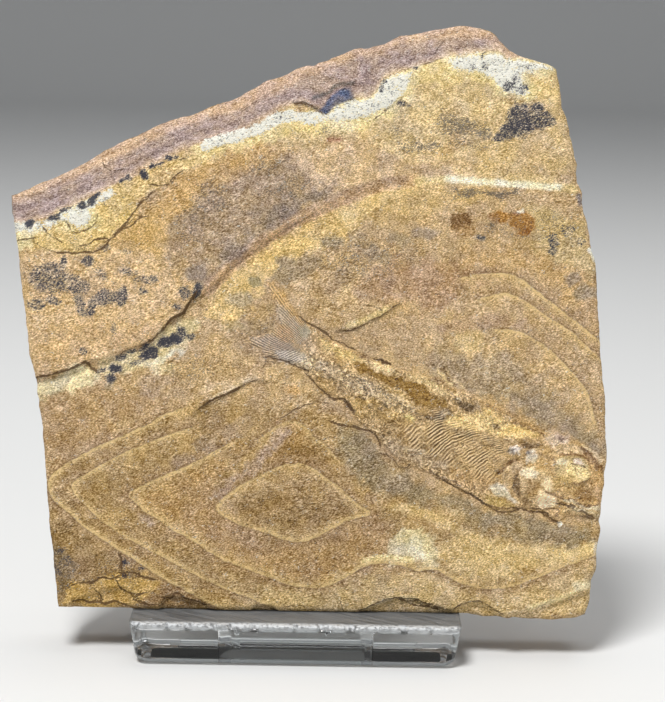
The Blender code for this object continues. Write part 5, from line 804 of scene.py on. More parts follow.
# line, colour, half width, softness, strength
FISH_STROKES = [
    ([(39.0, 27.2), (40.2, 27.5), (41.6, 27.5), (43.0, 26.9), (44.4, 25.8)], (128, 90, 50), 0.1, 0.2, 0.85),
    ([(42.2, 28.5), (43.4, 27.7), (44.6, 26.5), (45.4, 25.4), (46.1, 24.4)], (120, 86, 52), 0.13, 0.2, 0.9),
    ([(42.9, 27.6), (44.2, 26.6), (45.2, 25.0), (45.4, 24.4)], (132, 94, 54), 0.1, 0.2, 0.8),
    ([(42.6, 28.9), (44.4, 27.6), (45.6, 26.2)], (226, 204, 166), 0.14, 0.2, 0.8),
    ([(40.4, 25.8), (41.2, 25.4), (42.0, 25.3), (42.8, 25.4)], (134, 110, 72), 0.07, 0.12, 0.85),
    ([(40.6, 22.4), (42.0, 22.4), (43.0, 22.9), (43.8, 23.5)], (130, 98, 54), 0.1, 0.2, 0.85),
    ([(42.2, 23.0), (43.2, 23.5), (43.9, 24.0)], (232, 212, 156), 0.1, 0.15, 0.7),
    ([(38.0, 24.9), (38.6, 25.1)], (130, 104, 64), 0.1, 0.15, 0.7),
    ([(36.0, 20.8), (37.4, 20.5), (38.8, 20.2), (40.2, 19.8), (41.4, 19.6)], (116, 84, 50), 0.1, 0.18, 0.9),
    ([(39.8, 19.9), (40.8, 19.4), (42.0, 18.9), (43.6, 18.5), (45.6, 18.0)], (238, 224, 196), 0.12, 0.18, 0.85),
    ([(41.6, 19.1), (43.2, 18.8), (45.6, 18.5)], (116, 84, 48), 0.1, 0.15, 0.85),
    ([(38.4, 19.0), (39.6, 18.8), (40.6, 18.6), (42.0, 18.1), (43.2, 17.5), (44.2, 16.8)], (92, 68, 42), 0.14, 0.2, 0.95),
    ([(41.4, 18.4), (43.0, 18.0), (44.8, 17.4), (45.6, 17.1)], (232, 214, 180), 0.1, 0.15, 0.8),
    ([(42.4, 17.0), (44.0, 16.7), (45.6, 16.6)], (122, 94, 60), 0.08, 0.15, 0.7),
    ([(34.0, 18.3), (36.0, 18.2), (38.0, 18.2)], (110, 82, 48), 0.07, 0.15, 0.8),
    # Along the belly under the head: a dark outline and painted shadow under the raised fish.
    ([(32.4, 17.9), (33.6, 17.6), (35.0, 17.5), (36.0, 17.6), (36.6, 16.9), (37.4, 16.2), (38.4, 15.5)],
     (106, 78, 46), 0.12, 0.2, 0.85),
    ([(38.0, 17.7), (38.4, 17.9), (38.8, 17.5), (38.6, 17.0), (38.2, 17.2)], (112, 80, 50), 0.08, 0.12, 0.85),
    ([(38.6, 15.4), (38.9, 15.3)], (246, 242, 232), 0.2, 0.2, 0.95),
    ([(28.3, 23.8), (29.0, 24.6), (29.8, 25.3), (30.4, 25.7), (31.4, 26.3)], (126, 92, 50), 0.16, 0.22, 0.9),
    ([(29.6, 24.4), (30.4, 25.1), (31.6, 25.5)], (216, 190, 146), 0.1, 0.2, 0.7),
    ([(34.0, 27.5), (35.4, 27.6), (36.4, 27.0), (37.6, 26.6), (38.0, 26.0)], (142, 108, 62), 0.08, 0.2, 0.7),
    ([(30.3, 32.2), (31.0, 32.6), (31.6, 32.5), (32.6, 32.0), (34.0, 31.4), (35.4, 31.0), (36.4, 30.5)],
     (140, 104, 54), 0.13, 0.2, 0.85),
    ([(26.0, 35.4), (27.4, 34.9), (28.4, 34.4)], (166, 126, 72), 0.1, 0.2, 0.7),
    ([(19.8, 38.0), (20.6, 37.2), (20.9, 36.6)], (136, 106, 70), 0.12, 0.2, 0.7),
    ([(5.2, 43.6), (6.0, 43.0), (6.2, 42.5)], (130, 98, 60), 0.1, 0.2, 0.75),
    ([(7.4, 43.0), (8.4, 42.8), (9.2, 42.3), (9.8, 42.0)], (104, 78, 50), 0.12, 0.2, 0.9),
    ([(16.2, 43.4), (16.8, 42.8), (17.3, 42.2)], (150, 118, 86), 0.08, 0.2, 0.6),
    ([(18.2, 41.6), (18.9, 40.2), (20.2, 39.0)], (232, 208, 160), 0.1, 0.2, 0.8),
    ([(18.6, 41.9), (19.6, 40.2), (21.0, 38.8)], (128, 98, 62), 0.08, 0.16, 0.8),
    ([(19.2, 41.2), (20.6, 39.6), (22.4, 38.4)], (226, 200, 150), 0.08, 0.2, 0.7),
    # The next two lines, along the belly, are a dark outline and painted shadow under the raised fish.
    ([(24.0, 20.1), (26.0, 18.9), (27.0, 18.5), (29.0, 18.2), (31.0, 18.1), (32.0, 17.9)], (116, 88, 52), 0.08, 0.16, 0.85),
    ([(17.0, 24.0), (19.0, 23.0), (20.4, 22.6), (22.0, 21.9)], (116, 88, 60), 0.12, 0.25, 0.75),
    ([(11.0, 26.9), (13.0, 26.6), (15.0, 26.8), (17.0, 26.4)], (150, 122, 88), 0.1, 0.25, 0.6),
    ([(12.0, 28.0), (14.0, 27.6), (16.0, 27.4)], (212, 190, 152), 0.1, 0.25, 0.55),
    ([(1.4, 41.0), (3.2, 40.0), (5.0, 39.6)], (112, 84, 54), 0.1, 0.2, 0.6),
    ([(0.4, 38.4), (2.0, 37.4), (3.6, 36.6), (5.0, 36.3)], (130, 98, 58), 0.1, 0.25, 0.6),
    ([(2.2, 35.6), (3.2, 34.4), (3.9, 33.8)], (112, 84, 52), 0.12, 0.2, 0.8)]
SPINE_RUBBLE = [(-3.6, 42.0), (-1.0, 41.2), (1.0, 40.2), (3.0, 39.4), (6.0, 38.0), (9.0, 36.6), (11.0, 35.4), (13.0, 34.6)]


def fish_paint(plan, close, colour):
    """Colour of the fish over the rock's: named bones and patches, then fine lines."""
    near = np.flatnonzero((plan[:, 0] > -19) & (plan[:, 1] > 12) & (plan[:, 1] < 59))
    made = colour[near]
    ragged = np.stack([mottle(plan[near], 0.6, seed, 2) for seed in (61, 62)], axis=1)
    spot = close[near] + 0.3 * ragged + 0.25 * np.stack([mottle(plan[near], 1.5, s, 2) for s in (63, 64)], axis=1)
    for polygon, shade, soft, strength in FISH_ZONES:
        amount = strength * ease(depth_inside(spot, polygon, 1.4 * soft + 0.5), -1.4 * soft, 1.4 * soft)
        made = made + (tone(*shade) - made) * amount[:, None]
    on_body = ease(depth_inside(spot, FISH_BODY, 2.0), 0.0, 0.8)
    middle = tone(190, 158, 104).mean()
    made *= ((made.mean(axis=1) / middle) ** (0.55 * on_body))[:, None]
    made *= 1.0 + on_body[:, None] * np.array([-0.03, 0.0, 0.04])
    # Lighter over the body and more so toward the head: paler bone, and painted light where the head slopes away from
    # the lamps.
    made *= 1.0 + (on_body * (0.02 + 0.06 * ease(plan[near, 0], 24.0, 32.0)))[:, None]
    for line, shade, half, soft, strength in FISH_STROKES:
        gap = np.abs(line_distance(spot, smoothed(line, 0.5), half + soft + 0.5))
        made = made + (tone(*shade) - made) * (strength * (1 - ease(gap, half, half + soft)))[:, None]
    colour = colour.copy()
    colour[near] = made
    return colour


def fish_bone(plan):
    """What the fish's material draws finely, at each plan point: phase and strength of rays and ribs, and how
    broken the bone is."""
    phase, cover = comb(plan)
    body = ease(depth_inside(plan, FISH_BODY, 3.0), 0.0, 0.6)
    amber = ease(depth_inside(plan, AMBER, 2.0), -0.1, 0.3)
    spine = 1 - ease(np.abs(line_distance(plan, SPINE_RUBBLE, 3.0)), 1.2, 2.4)
    root = ease(depth_inside(plan, FISH_TAIL, 2.0), 0.0, 0.5) * (1 - cover)
    broken = np.maximum(body * (0.8 + 0.35 * mottle(plan, 3.0, 65)) * (1 - 0.6 * cover), np.maximum(root, 1.25 * spine))
    broken *= 1 - 0.75 * amber
    broken *= 1 - 0.55 * ease(fish_axes(plan)[0], 37.0, 41.0)
    return np.stack([phase, cover, broken], axis=1)


# ---- the slab: mesh ------------------------------------------------------------------------------------------
# The front face is a patch drawn between the four broken edges. Its rim runs back through the layers, each a
# little proud of or behind the next, to the rough split back. The underside is cut flat to stand on acrylic.
COLUMNS, ROWS = 280, 256


def edge_curve(points, count, reverse=False):
    """A broken edge in plan: evenly spaced stations, made ragged away from the two corners."""
    line = stations(points, count)
    if reverse:
        line = line[::-1]
    fade = np.sin(np.linspace(0, math.pi, count)) ** 0.25
    standing = (line[:, 1] < 0.5) & (line[:, 0] < 24.0)
    rag = np.stack([mottle(line, 1.6, 71, 3), mottle(line, 1.6, 72, 3)], axis=1) * 0.16
    rag[standing] = 0.0
    return line + rag * fade[:, None]


LEFT, RIGHT = edge_curve(LEFT_EDGE, ROWS), edge_curve(RIGHT_EDGE, ROWS)
FOOT, CREST = edge_curve(FOOT_EDGE, COLUMNS), edge_curve(TOP_EDGE, COLUMNS)


def slab_plan(s, t):
    """Plan point for s across and t up, both 0 to 1: the Coons patch, which blends left with right and foot
    with crest, less the blend of the four corners."""
    def along(curve, at):
        k = np.linspace(0, 1, len(curve))
        return np.stack([np.interp(at, k, curve[:, 0]), np.interp(at, k, curve[:, 1])], axis=-1)

    s1, t1 = s[..., None], t[..., None]
    sides = along(LEFT, t) * (1 - s1) + along(RIGHT, t) * s1
    ends = along(FOOT, s) * (1 - t1) + along(CREST, s) * t1
    corners = (FOOT[0] * (1 - s1) + FOOT[-1] * s1) * (1 - t1) + (CREST[0] * (1 - s1) + CREST[-1] * s1) * t1
    return sides + ends - corners


def rim_order(columns, rows):
    """(column, row) of the grid's border in one anticlockwise turn, from the bottom left."""
    c, r = np.arange(columns), np.arange(rows)
    across = np.concatenate([c, np.full(rows - 1, columns - 1), c[-2::-1], np.zeros(rows - 2, int)])
    up = np.concatenate([np.zeros(columns, int), r[1:], np.full(columns - 1, rows - 1), r[-2:0:-1]])
    return across, up


def grid_faces(columns, rows):
    """Quads of a grid whose vertices run across and then up, facing the viewer."""
    first = (np.arange(rows - 1)[:, None] * columns + np.arange(columns - 1)[None, :]).ravel()
    return np.stack([first, first + 1, first + columns + 1, first + columns], axis=1)


def ring_faces(near, far):
    """Quads between two closed rings of vertex numbers, near the viewer and far, turned outwards."""
    return np.stack([near, far, np.roll(far, -1), np.roll(near, -1)], axis=1)


def standing_height(x, depth):
    """Height of the underside, which is level once the slab leans and dips where it overhangs the stand."""
    dip = np.interp(x, [23.6, 30.0, 38.0, 42.0, 44.5], [0.0, -0.55, -0.85, -0.45, 1.0])
    return dip + depth * math.tan(LEAN)


def place_on_stand(across, depth, up):
    """World coordinates in metres from the slab's own in mm, leaned back on the stand."""
    lean = np.array([[1, 0, 0], list(ALONG_BACK), list(ALONG_UP)])
    return np.stack([across, depth, up], axis=1) * MM @ lean + np.array(SLAB_ORIGIN)


def stone_object(name, points, faces, paints):
    """A mesh object from arrays, shaded smooth, with its paint stored in vertex attributes."""
    data = bpy.data.meshes.new(name)
    data.from_pydata(points.tolist(), [], faces)
    data.validate()
    data.polygons.foreach_set("use_smooth", np.ones(len(data.polygons), bool))
    colour, lines, shown, growth = paints
    layer = data.attributes.new("tone", "FLOAT_COLOR", "POINT")
    layer.data.foreach_set("color", np.concatenate([colour, np.ones((len(colour), 1))], axis=1).ravel())
    for label, values in (("lines", lines), ("shown", shown), ("growth", growth)):
        layer = data.attributes.new(label, "FLOAT_VECTOR", "POINT")
        layer.data.foreach_set("vector", values.ravel())
    made = bpy.data.objects.new(name, data)
    bpy.context.scene.collection.objects.link(made)
    return made


# The fish is a finer patch let into the slab's face: its long grid runs from tail to snout between these two
# curves, a little outside its outline, and its border dips just under the rock.
FISH_UPPER = [(-13.6, 59.6), (-8.6, 57.0), (-4.0, 51.8), (0.4, 48.6), (5.0, 46.2), (12.0, 43.4), (19.0, 41.5),
              (27.5, 38.2), (33.0, 35.4), (38.5, 32.7), (42.5, 31.0), (45.9, 28.6)]
FISH_LOWER = [(-18.6, 44.6), (-13.8, 41.6), (-8.6, 40.0), (-5.4, 38.6), (-1.8, 35.4), (2.4, 32.0), (7.2, 27.3),
              (12.4, 23.1), (19.5, 20.0), (27.4, 15.8), (33.5, 15.6), (38.6, 13.5), (45.2, 15.2)]
FISH_BORDER = FISH_LOWER + FISH_UPPER[::-1]


def slab_face(plan):
    """Depth of the slab's own face in mm: the relief, let down a little where the fish's finer patch lies."""
    let_in = ease(depth_inside(plan, FISH_BORDER, 3.0), 0.5, 1.3)
    return face_depth(plan, edge_gap_all(plan)) + 0.4 * let_in


def edge_gap_all(plan):
    """Distance in from the nearest of the slab's four edges, in mm."""
    around = np.concatenate([FOOT[::3], RIGHT[::3], CREST[::-3], LEFT[::-3]])
    return np.abs(line_distance(plan, np.concatenate([around, around[:1]]), 3.0))


s, t = np.meshgrid(np.linspace(0, 1, COLUMNS), np.linspace(0, 1, ROWS))
plan = slab_plan(s.ravel(), t.ravel())
across, depth, up = [plan[:, 0]], [slab_face(plan)], [plan[:, 1]]
c, r = rim_order(COLUMNS, ROWS)
ring = r * COLUMNS + c
loop, loop_depth = plan[ring], depth[0][ring]
faces = [grid_faces(COLUMNS, ROWS)]
heading = np.roll(loop, -3, axis=0) - np.roll(loop, 3, axis=0)
inward = np.stack([-heading[:, 1], heading[:, 0]], axis=1) / np.hypot(*heading.T)[:, None]
around_at = np.stack([np.cumsum(np.hypot(*(loop - np.roll(loop, 1, axis=0)).T)), np.zeros(len(loop))], axis=1)
LAYERS = [0.35, 1.3, 1.55, 2.9, 3.2, 4.7, 5.0, 6.6, 6.9, 8.5, 8.8, 10.4, 11.2]
SETBACKS = [-0.02, 0.05, 0.35, 0.25, -0.02, 0.1, 0.45, 0.35, 0.1, 0.2, 0.6, 0.55, 0.9]
total = len(plan)
for k, (level, setback) in enumerate(zip(LAYERS, SETBACKS)):
    wave = mottle(around_at + 37.0 * (k // 2), 7.0, 81, 3)
    inset = setback + (0.3 * wave + 0.12 * mottle(around_at + 11.0 * k, 1.3, 82, 2)) * ease(level, 0.2, 1.5)
    back = np.minimum(np.maximum(level + 0.2 * wave, loop_depth + 0.3 + level * 0.12), THICKNESS - 1.0 + 0.06 * level)
    moved = loop + inward * inset[:, None]
    moved[:, 1] = np.maximum(moved[:, 1], standing_height(moved[:, 0], back))
    across.append(moved[:, 0])
    depth.append(back)
    up.append(moved[:, 1])
    new_ring = total + np.arange(len(loop))
    faces.append(ring_faces(ring, new_ring))
    ring, total = new_ring, total + len(loop)
back_s, back_t = c / (COLUMNS - 1) - 0.5, r / (ROWS - 1) - 0.5
for k, shrink in enumerate([1.0, 0.985, 0.955, 0.9, 0.82, 0.7, 0.55, 0.38, 0.2, 0.07]):
    moved = slab_plan(0.5 + back_s * shrink, 0.5 + back_t * shrink) + inward * 1.5 * shrink
    moved[:, 1] = np.maximum(moved[:, 1], standing_height(moved[:, 0], THICKNESS))
    leaned_on = 1.0 - ease(np.abs(moved[:, 0] + 5.5), 24.0, 30.0)
    hollow = 0.0 if k == 0 else 0.45 + 0.45 * mottle(moved, 9.0, 91, 4)
    across.append(moved[:, 0])
    depth.append(THICKNESS - hollow * (1.0 - leaned_on) - (0.05 * leaned_on if k else 0.0))
    up.append(moved[:, 1])
    new_ring = total + np.arange(len(loop))
    faces.append(ring_faces(ring, new_ring))
    ring, total = new_ring, total + len(loop)
pole = slab_plan(np.array([0.5]), np.array([0.5]))
across.append(pole[:, 0])
depth.append(np.array([THICKNESS - 0.05]))
up.append(pole[:, 1])
across, depth, up = np.concatenate(across), np.concatenate([np.atleast_1d(d) for d in depth]), np.concatenate(up)
all_faces = np.concatenate(faces).tolist()
all_faces += np.stack([ring, np.full(len(ring), total), np.roll(ring, -1)], axis=1).tolist()
whole_plan = np.stack([across, up], axis=1)
paints = painted(whole_plan)

# Sides and back show the layers edge on: paler and greyer, in thin bands by depth, with rust in the seams.
side = np.arange(len(across)) >= len(plan)
seam = mottle(np.stack([depth * 1.6, 0.08 * (across + up)], axis=1), 1.4, 95, 3)
bands = tone(196, 166, 124) + (tone(158, 130, 98) - tone(196, 166, 124)) * ease(seam, -0.4, 0.6)[:, None]
bands = bands + (tone(216, 196, 160) - bands) * (ease(-seam, 0.5, 1.0) * 0.7)[:, None]
bands *= (1.0 + 0.12 * mottle(whole_plan + depth[:, None], 2.4, 96))[:, None]
back_stain = ease(depth, THICKNESS - 1.2, THICKNESS - 0.6)[:, None]
bands = bands + (tone(188, 156, 112) * (1 + 0.2 * mottle(whole_plan, 12.0, 97))[:, None] - bands) * back_stain
blend_side = (side * ease(depth - np.minimum(depth, 1.2), -1.0, 1.0))[:, None]
blend_side = (side * ease(depth, 0.4, 1.6))[:, None]
paints[0][:] = paints[0] + (bands - paints[0]) * blend_side
for extra in paints[2:]:
    extra *= 1.0 - blend_side
slab = stone_object("limestone_slab", place_on_stand(across, depth, up), all_faces, paints)
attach(slab, "root")
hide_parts("fossil_slab")


class Wire:
    """A shader socket. Arithmetic on it, from either side, adds a Math node to the material being made."""
    tree = None

    def __init__(self, socket):
        self.socket = socket

    @classmethod
    def node(cls, kind, settings, values, out=0):
        """One output of a new node. Settings are set first, then each socket takes its value or a wire."""
        made = cls.tree.nodes.new(kind)
        for name, value in settings.items():
            setattr(made, name, value)
        for key, value in values.items():
            if isinstance(value, Wire):
                cls.tree.links.new(value.socket, made.inputs[key])
            else:
                made.inputs[key].default_value = value
        return cls(made.outputs[out])

    def math(self, operation, *others):
        return Wire.node("ShaderNodeMath", {"operation": operation}, dict(enumerate((self,) + others)))

    def __add__(self, other):
        return self.math("ADD", other)

    def __sub__(self, other):
        return self.math("SUBTRACT", other)

    def __mul__(self, other):
        return self.math("MULTIPLY", other)

    def __rsub__(self, other):
        return Wire.node("ShaderNodeMath", {"operation": "SUBTRACT"}, {0: other, 1: self})

    def __rpow__(self, other):
        return Wire.node("ShaderNodeMath", {"operation": "POWER"}, {0: other, 1: self})

    __radd__, __rmul__ = __add__, __mul__

    def __abs__(self):
        return self.math("ABSOLUTE")

    def step(self, low, high):
        """0 below low, 1 above high, smooth between; falling instead where low is above high."""
        ends = {"From Min": min(low, high), "From Max": max(low, high), "To Min": float(low > high),
                "To Max": float(low < high)}
        return Wire.node("ShaderNodeMapRange", {"interpolation_type": "SMOOTHSTEP"}, {"Value": self, **ends})


def blended(amount, under, over):
    """Two colours mixed by an amount."""
    return Wire.node("ShaderNodeMix", {"data_type": "RGBA"}, {0: amount, 6: under, 7: over}, 2)


def shade(red, green, blue):
    """A paint-chart colour as a socket value."""
    return (*tone(red, green, blue), 1.0)


def cloud(where, scale, detail, roughness=0.6, squeeze=(1, 1, 1), distortion=0.0):
    """Noise of about 0 to 1 on a position, drawn out where squeeze is small."""
    moved = Wire.node("ShaderNodeVectorMath", {"operation": "MULTIPLY"}, {0: where, 1: squeeze})
    return Wire.node("ShaderNodeTexNoise", {}, {"Vector": moved, "Scale": scale, "Detail": detail,
                                                "Roughness": roughness, "Distortion": distortion})


def parts(label):
    """The three numbers of a vertex attribute."""
    stored = Wire.node("ShaderNodeAttribute", {"attribute_name": label}, {}, "Vector")
    return [Wire.node("ShaderNodeSeparateXYZ", {}, {0: stored}, k) for k in range(3)]


def limestone(name, roughness, bony):
    """Fine-grained, iron-stained limestone: painted tones broken up by grain that lies along the bedding, which also
    paints the shading of fine relief, then crisp marks from the stored distances and amounts, and a gritty bump.
    The fish adds rays, ribs and splinters, in pale bone and dark gaps with painted highlight and painted shade."""
    material = bpy.data.materials.new(name)
    material.use_nodes = True
    Wire.tree = material.node_tree
    shader = material.node_tree.nodes["Principled BSDF"]
    place = Wire.node("ShaderNodeTexCoord", {}, {}, "Object")
    place = Wire.node("ShaderNodeMapping", {}, {"Vector": place, "Rotation": (LEAN, 0, 0), "Scale": (1e3, 1e3, 1e3)})
    crack, ring, rim = parts("lines")
    crack_shown, ring_shown, band = parts("shown")
    black, grey, crust = parts("growth")

    grain = Wire.node("ShaderNodeMapping", {}, {"Vector": place, "Rotation": (0, 0.4, 0)})
    fibre = cloud(grain, 1.0, 3.0, 0.6, squeeze=(1.5, 1.9, 3.4))
    grit = cloud(grain, 4.9, 1.0, 0.5, squeeze=(0.62, 1, 1.3))
    patchy = cloud(place, 0.5, 4.0, 0.65, squeeze=(0.85, 1, 1.15))
    cast = cloud(place, 0.31, 3.0, 0.6)
    colour = Wire.node("ShaderNodeAttribute", {"attribute_name": "tone"}, {}, "Color")
    strand = cloud(place, 1.7, 2.0, 0.6, squeeze=(0.8, 1, 1.3), distortion=0.8)
    thread = abs(strand - 0.5).step(0.035, 0.0)
    # The grain lightens and darkens the colour: the stone's own grain, and painted shading of its fine relief.
    light = (fibre - 0.5) * 0.48 + (grit - 0.5) * 1.02 + (patchy - 0.5) * 0.42 - (thread - 0.3) * 0.09 + 0.006
    if bony:
        phase, cover, broken = parts("bone")
        light = light * (0.86 - cover * 0.4)
    chart = Wire.node("ShaderNodeGamma", {}, {0: colour, 1: 1 / 2.2})
    chart = Wire.node("ShaderNodeVectorMath", {"operation": "MULTIPLY"},
                      {0: chart, 1: blended(cast.step(0.36, 0.64), (1.02, 1.0, 0.93, 1), (0.995, 0.99, 1.015, 1))})
    chart = Wire.node("ShaderNodeVectorMath", {"operation": "ADD"}, {0: chart, 1: light})
    colour = Wire.node("ShaderNodeGamma", {}, {0: chart, 1: 2.2})

    bedding = Wire.node("ShaderNodeSeparateXYZ", {}, {0: place})
    streaks = Wire.node("ShaderNodeCombineXYZ", {}, {0: bedding * 0.6, 1: rim * 1.2})
    streaks = cloud(streaks, 1.0, 5.0, 0.78)
    colour = blended(band * streaks.step(0.50, 0.66) * 0.18, colour, shade(132, 110, 102))
    colour = blended(band * streaks.step(0.46, 0.32) * 0.22, colour, shade(208, 178, 152))

    edge = ring + (grit - 0.5) * 0.4 + (fibre - 0.5) * 0.6
    bright = edge.step(0.05, -0.12) * edge.step(-0.75, -0.2) * ring_shown
    dark = abs(edge - 0.16).step(0.24, 0.04) * ring_shown
    worn = patchy.step(0.34, 0.56) * 0.6 + 0.4
    colour = blended(bright * worn * (grit * 0.5 + fibre * 0.5).step(0.28, 0.52) * 0.78, colour, shade(236, 206, 146))
    colour = blended(dark * worn * 0.4, colour, shade(104, 74, 44))

    moss = cloud(place, 1.25, 5.0, 0.72, distortion=0.6)
    moss_fine = cloud(grain, 3.9, 2.0, 0.6, squeeze=(0.8, 1, 1.7), distortion=0.3)
    lace = (moss * 0.3 + moss_fine * 0.7) * 1.6
    speck = (grey * 0.6 + (lace - 0.8) * 1.9 - 0.35).step(-0.04, 0.1)
    colour = blended(speck * 0.8, colour, shade(90, 84, 79))
    lime = (crust * 0.44 + (moss - 0.5) * 1.1 + (moss_fine - 0.5) * 0.9).step(0.18, 0.34)
    chalk = blended((grit * 0.5 + strand * 0.5).step(0.37, 0.465), shade(134, 133, 128), shade(252, 249, 236))
    colour = blended(lime * 0.97, colour, chalk)
    spread = black + lace - 1.205
    spray = spread.step(-0.05, 0.05)
    growth = blended(spread.step(0.0, 0.12), shade(112, 104, 98), shade(24, 31, 54))
    colour = blended(spray * 0.93, colour, growth)
    # Dark hairlines are the rock's cracks, and along the fish's belly also painted shadow.
    hairline_and_shadow = (crack_shown * (patchy - 0.24) * 0.75 - abs(crack + (fibre - 0.5) * 0.8)).step(-0.02, 0.09)
    colour = blended(hairline_and_shadow * 0.88, colour, shade(92, 64, 34))

    height = fibre * 1.0 + grit * 1.1 + thread * 0.1 + lime * 0.15 - hairline_and_shadow * 0.6 - bright * 0.1
    if bony:
        wave = (phase * (2 * math.pi) + (strand - 0.5) * 4.0).math("COSINE")
        splinter = cloud(place, 1.15, 3.0, 0.62, distortion=1.8)
        # Lit and sunk parts are pale bone and dark gaps of rays, ribs and splinters, brightened and darkened in the
        # colour as painted highlight and painted shade of their relief.
        lit = (splinter.step(0.52, 0.58) * broken).math("MAXIMUM", wave.step(0.0, 0.9) * cover)
        sunk_and_shaded = (splinter.step(0.47, 0.38) * broken * 0.7).math("MAXIMUM", wave.step(-0.2, -0.95) * cover * 0.65)
        colour = Wire.node("ShaderNodeVectorMath", {"operation": "SCALE"}, {0: colour, "Scale": lit * 0.75 - sunk_and_shaded * 0.7 + 1.0})
        colour = blended(lit * 0.3, colour, shade(255, 244, 216))
        height = height + (lit - sunk_and_shaded) * 0.3
    bump = Wire.node("ShaderNodeBump", {}, {"Height": height, "Strength": 1.0, "Distance": 0.0003})
    rough = roughness + (grit - 0.5) * 0.25 - spray * 0.12
    for key, wire in (("Base Color", colour), ("Roughness", rough), ("Normal", bump)):
        Wire.tree.links.new(wire.socket, shader.inputs[key])
    shader.inputs["Specular IOR Level"].default_value = 0.35
    return material


slab.data.materials.append(limestone("banded limestone", 0.86, False))

# ---- the fish ------------------------------------------------------------------------------------------------
# A herring-like fish about 62 mm long, flattened into the bedding: amber bone and scale, a fan of tail rays,
# rows of fine ribs, gill cover, jaws and a pale eye. It is the same rock, prepared by scraping.
FISH_LONG, FISH_HIGH = 470, 152


def fish_plan(s, t):
    """Plan point for s from tail to snout and t from belly to back, on a straight line between the curves."""
    curves = []
    for points in (FISH_LOWER, FISH_UPPER):
        curve = stations(smoothed(points, 1.0), 400)
        k = np.linspace(0, 1, len(curve))
        curves.append(np.stack([np.interp(s, k, curve[:, 0]), np.interp(s, k, curve[:, 1])], axis=-1))
    return curves[0] * (1 - t[..., None]) + curves[1] * t[..., None]


s, t = np.meshgrid(np.linspace(0, 1, FISH_LONG), np.linspace(0, 1, FISH_HIGH))
plan = fish_plan(s.ravel(), t.ravel())
within = depth_inside(plan, FISH_BORDER, 3.0)
depth = [face_depth(plan, edge_gap_all(plan)) + 0.32 * (1 - ease(within, 0.0, 0.55)) - 0.02]
c, r = rim_order(FISH_LONG, FISH_HIGH)
ring = r * FISH_LONG + c
faces, points, total = [grid_faces(FISH_LONG, FISH_HIGH)], [plan], len(plan)
for shrink, drop in ((0.995, 0.5), (0.9, 0.9), (0.6, 1.2), (0.2, 1.3)):
    moved = fish_plan(0.5 + (c / (FISH_LONG - 1) - 0.5) * shrink, 0.5 + (r / (FISH_HIGH - 1) - 0.5) * shrink)
    points.append(moved)
    depth.append(np.maximum(depth[0][r * FISH_LONG + c], 0.6) + drop)
    new_ring = total + np.arange(len(c))
    faces.append(ring_faces(ring, new_ring))
    ring, total = new_ring, total + len(c)
points.append(fish_plan(np.array([0.5]), np.array([0.5])))
depth.append(np.array([2.0]))
all_faces = np.concatenate(faces).tolist()
all_faces += np.stack([ring, np.full(len(ring), total), np.roll(ring, -1)], axis=1).tolist()
plan, depth = np.concatenate(points), np.concatenate(depth)
fish = stone_object("fossil_fish", place_on_stand(plan[:, 0], depth, plan[:, 1]), all_faces, painted(plan))
layer = fish.data.attributes.new("bone", "FLOAT_VECTOR", "POINT")
layer.data.foreach_set("vector", fish_bone(plan).ravel())
fish.data.materials.append(limestone("fossil bone in limestone", 0.66, True))
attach(fish, "root")

# ---- the stand -----------------------------------------------------------------------------------------------
# Cast acrylic, sawn and polished: a low block with tapered ends and a window through it, and behind it a folded
# strip that the slab leans on. The block's top is left frosted from the saw, and its front edge is chipped.
STAND_X = (stand_low.x + stand_high.x) / 2 / MM
FRONT_Y = stand_low.y / MM
BASE_WIDTH, BASE_DEPTH, HEIGHT = 55.6, 23.2, BASE_HEIGHT / MM
TAPER = math.tan(math.radians(8.5))
AROUND = 560


def rounded_loop(corners, radius, count):
    """Evenly spaced points round a convex polygon with arcs for corners, anticlockwise from the first corner."""
    path = []
    ring = np.array(corners, float)
    for before, corner, after in zip(np.roll(ring, 1, axis=0), ring, np.roll(ring, -1, axis=0)):
        a = (before - corner) / np.hypot(*(before - corner))
        b = (after - corner) / np.hypot(*(after - corner))
        reach = radius / math.tan(math.acos(np.clip(a @ b, -1, 1)) / 2)
        f = np.linspace(0, 1, 13)[:, None]
        path.append(corner + a * reach * (1 - f) ** 2 + b * reach * f**2)
    path = np.concatenate(path)
    return stations(np.concatenate([path, path[:1]]), count + 1)[:-1]


def block_loop(inset):
    """Outline of the block in plan, moved in by a distance, starting at its front left corner."""
    x, y0, y1 = BASE_WIDTH / 2 - inset, FRONT_Y + inset, FRONT_Y + BASE_DEPTH - inset
    return rounded_loop([(STAND_X - x, y0), (STAND_X + x, y0), (STAND_X + x, y1), (STAND_X - x, y1)],
                        2.6 - 0.3 * inset, AROUND)


window_front = FRONT_Y + 11.2
window = rounded_loop([(STAND_X - 13.4, window_front), (STAND_X + 13.4, window_front),
                       (STAND_X + 11.15, window_front + 5.3), (STAND_X - 11.15, window_front + 5.3)], 0.5, AROUND)
levels = []
for inset in (0.0, 0.08, 0.3, 0.7, 1.2, 2.0, 3.2, 4.6):
    levels.append((block_loop(inset), HEIGHT - 0.22 * (1 - ease(inset, 0.0, 0.3))))
levels += [(levels[-1][0] * (1 - f) + window * f, HEIGHT) for f in (0.33, 0.66, 0.96)]
levels += [(window, z) for z in (HEIGHT - 0.15, 5.0, 2.5, 0.15)]
floor_outer = block_loop(HEIGHT * TAPER + 1.9)
levels += [(window * (1 - f) + floor_outer * f, 0.0) for f in np.linspace(0.04, 1.0, 22)]
for angle in np.radians([15, 30, 45, 60, 75, 90]):
    z = 1.7 * (1 - math.cos(angle))
    levels.append((block_loop((HEIGHT - z) * TAPER + 1.7 * (1 - math.sin(angle))), z))
levels += [(block_loop((HEIGHT - z) * TAPER), z) for z in (2.6, 4.0, 5.4, 6.3, 6.9)]
rings = []
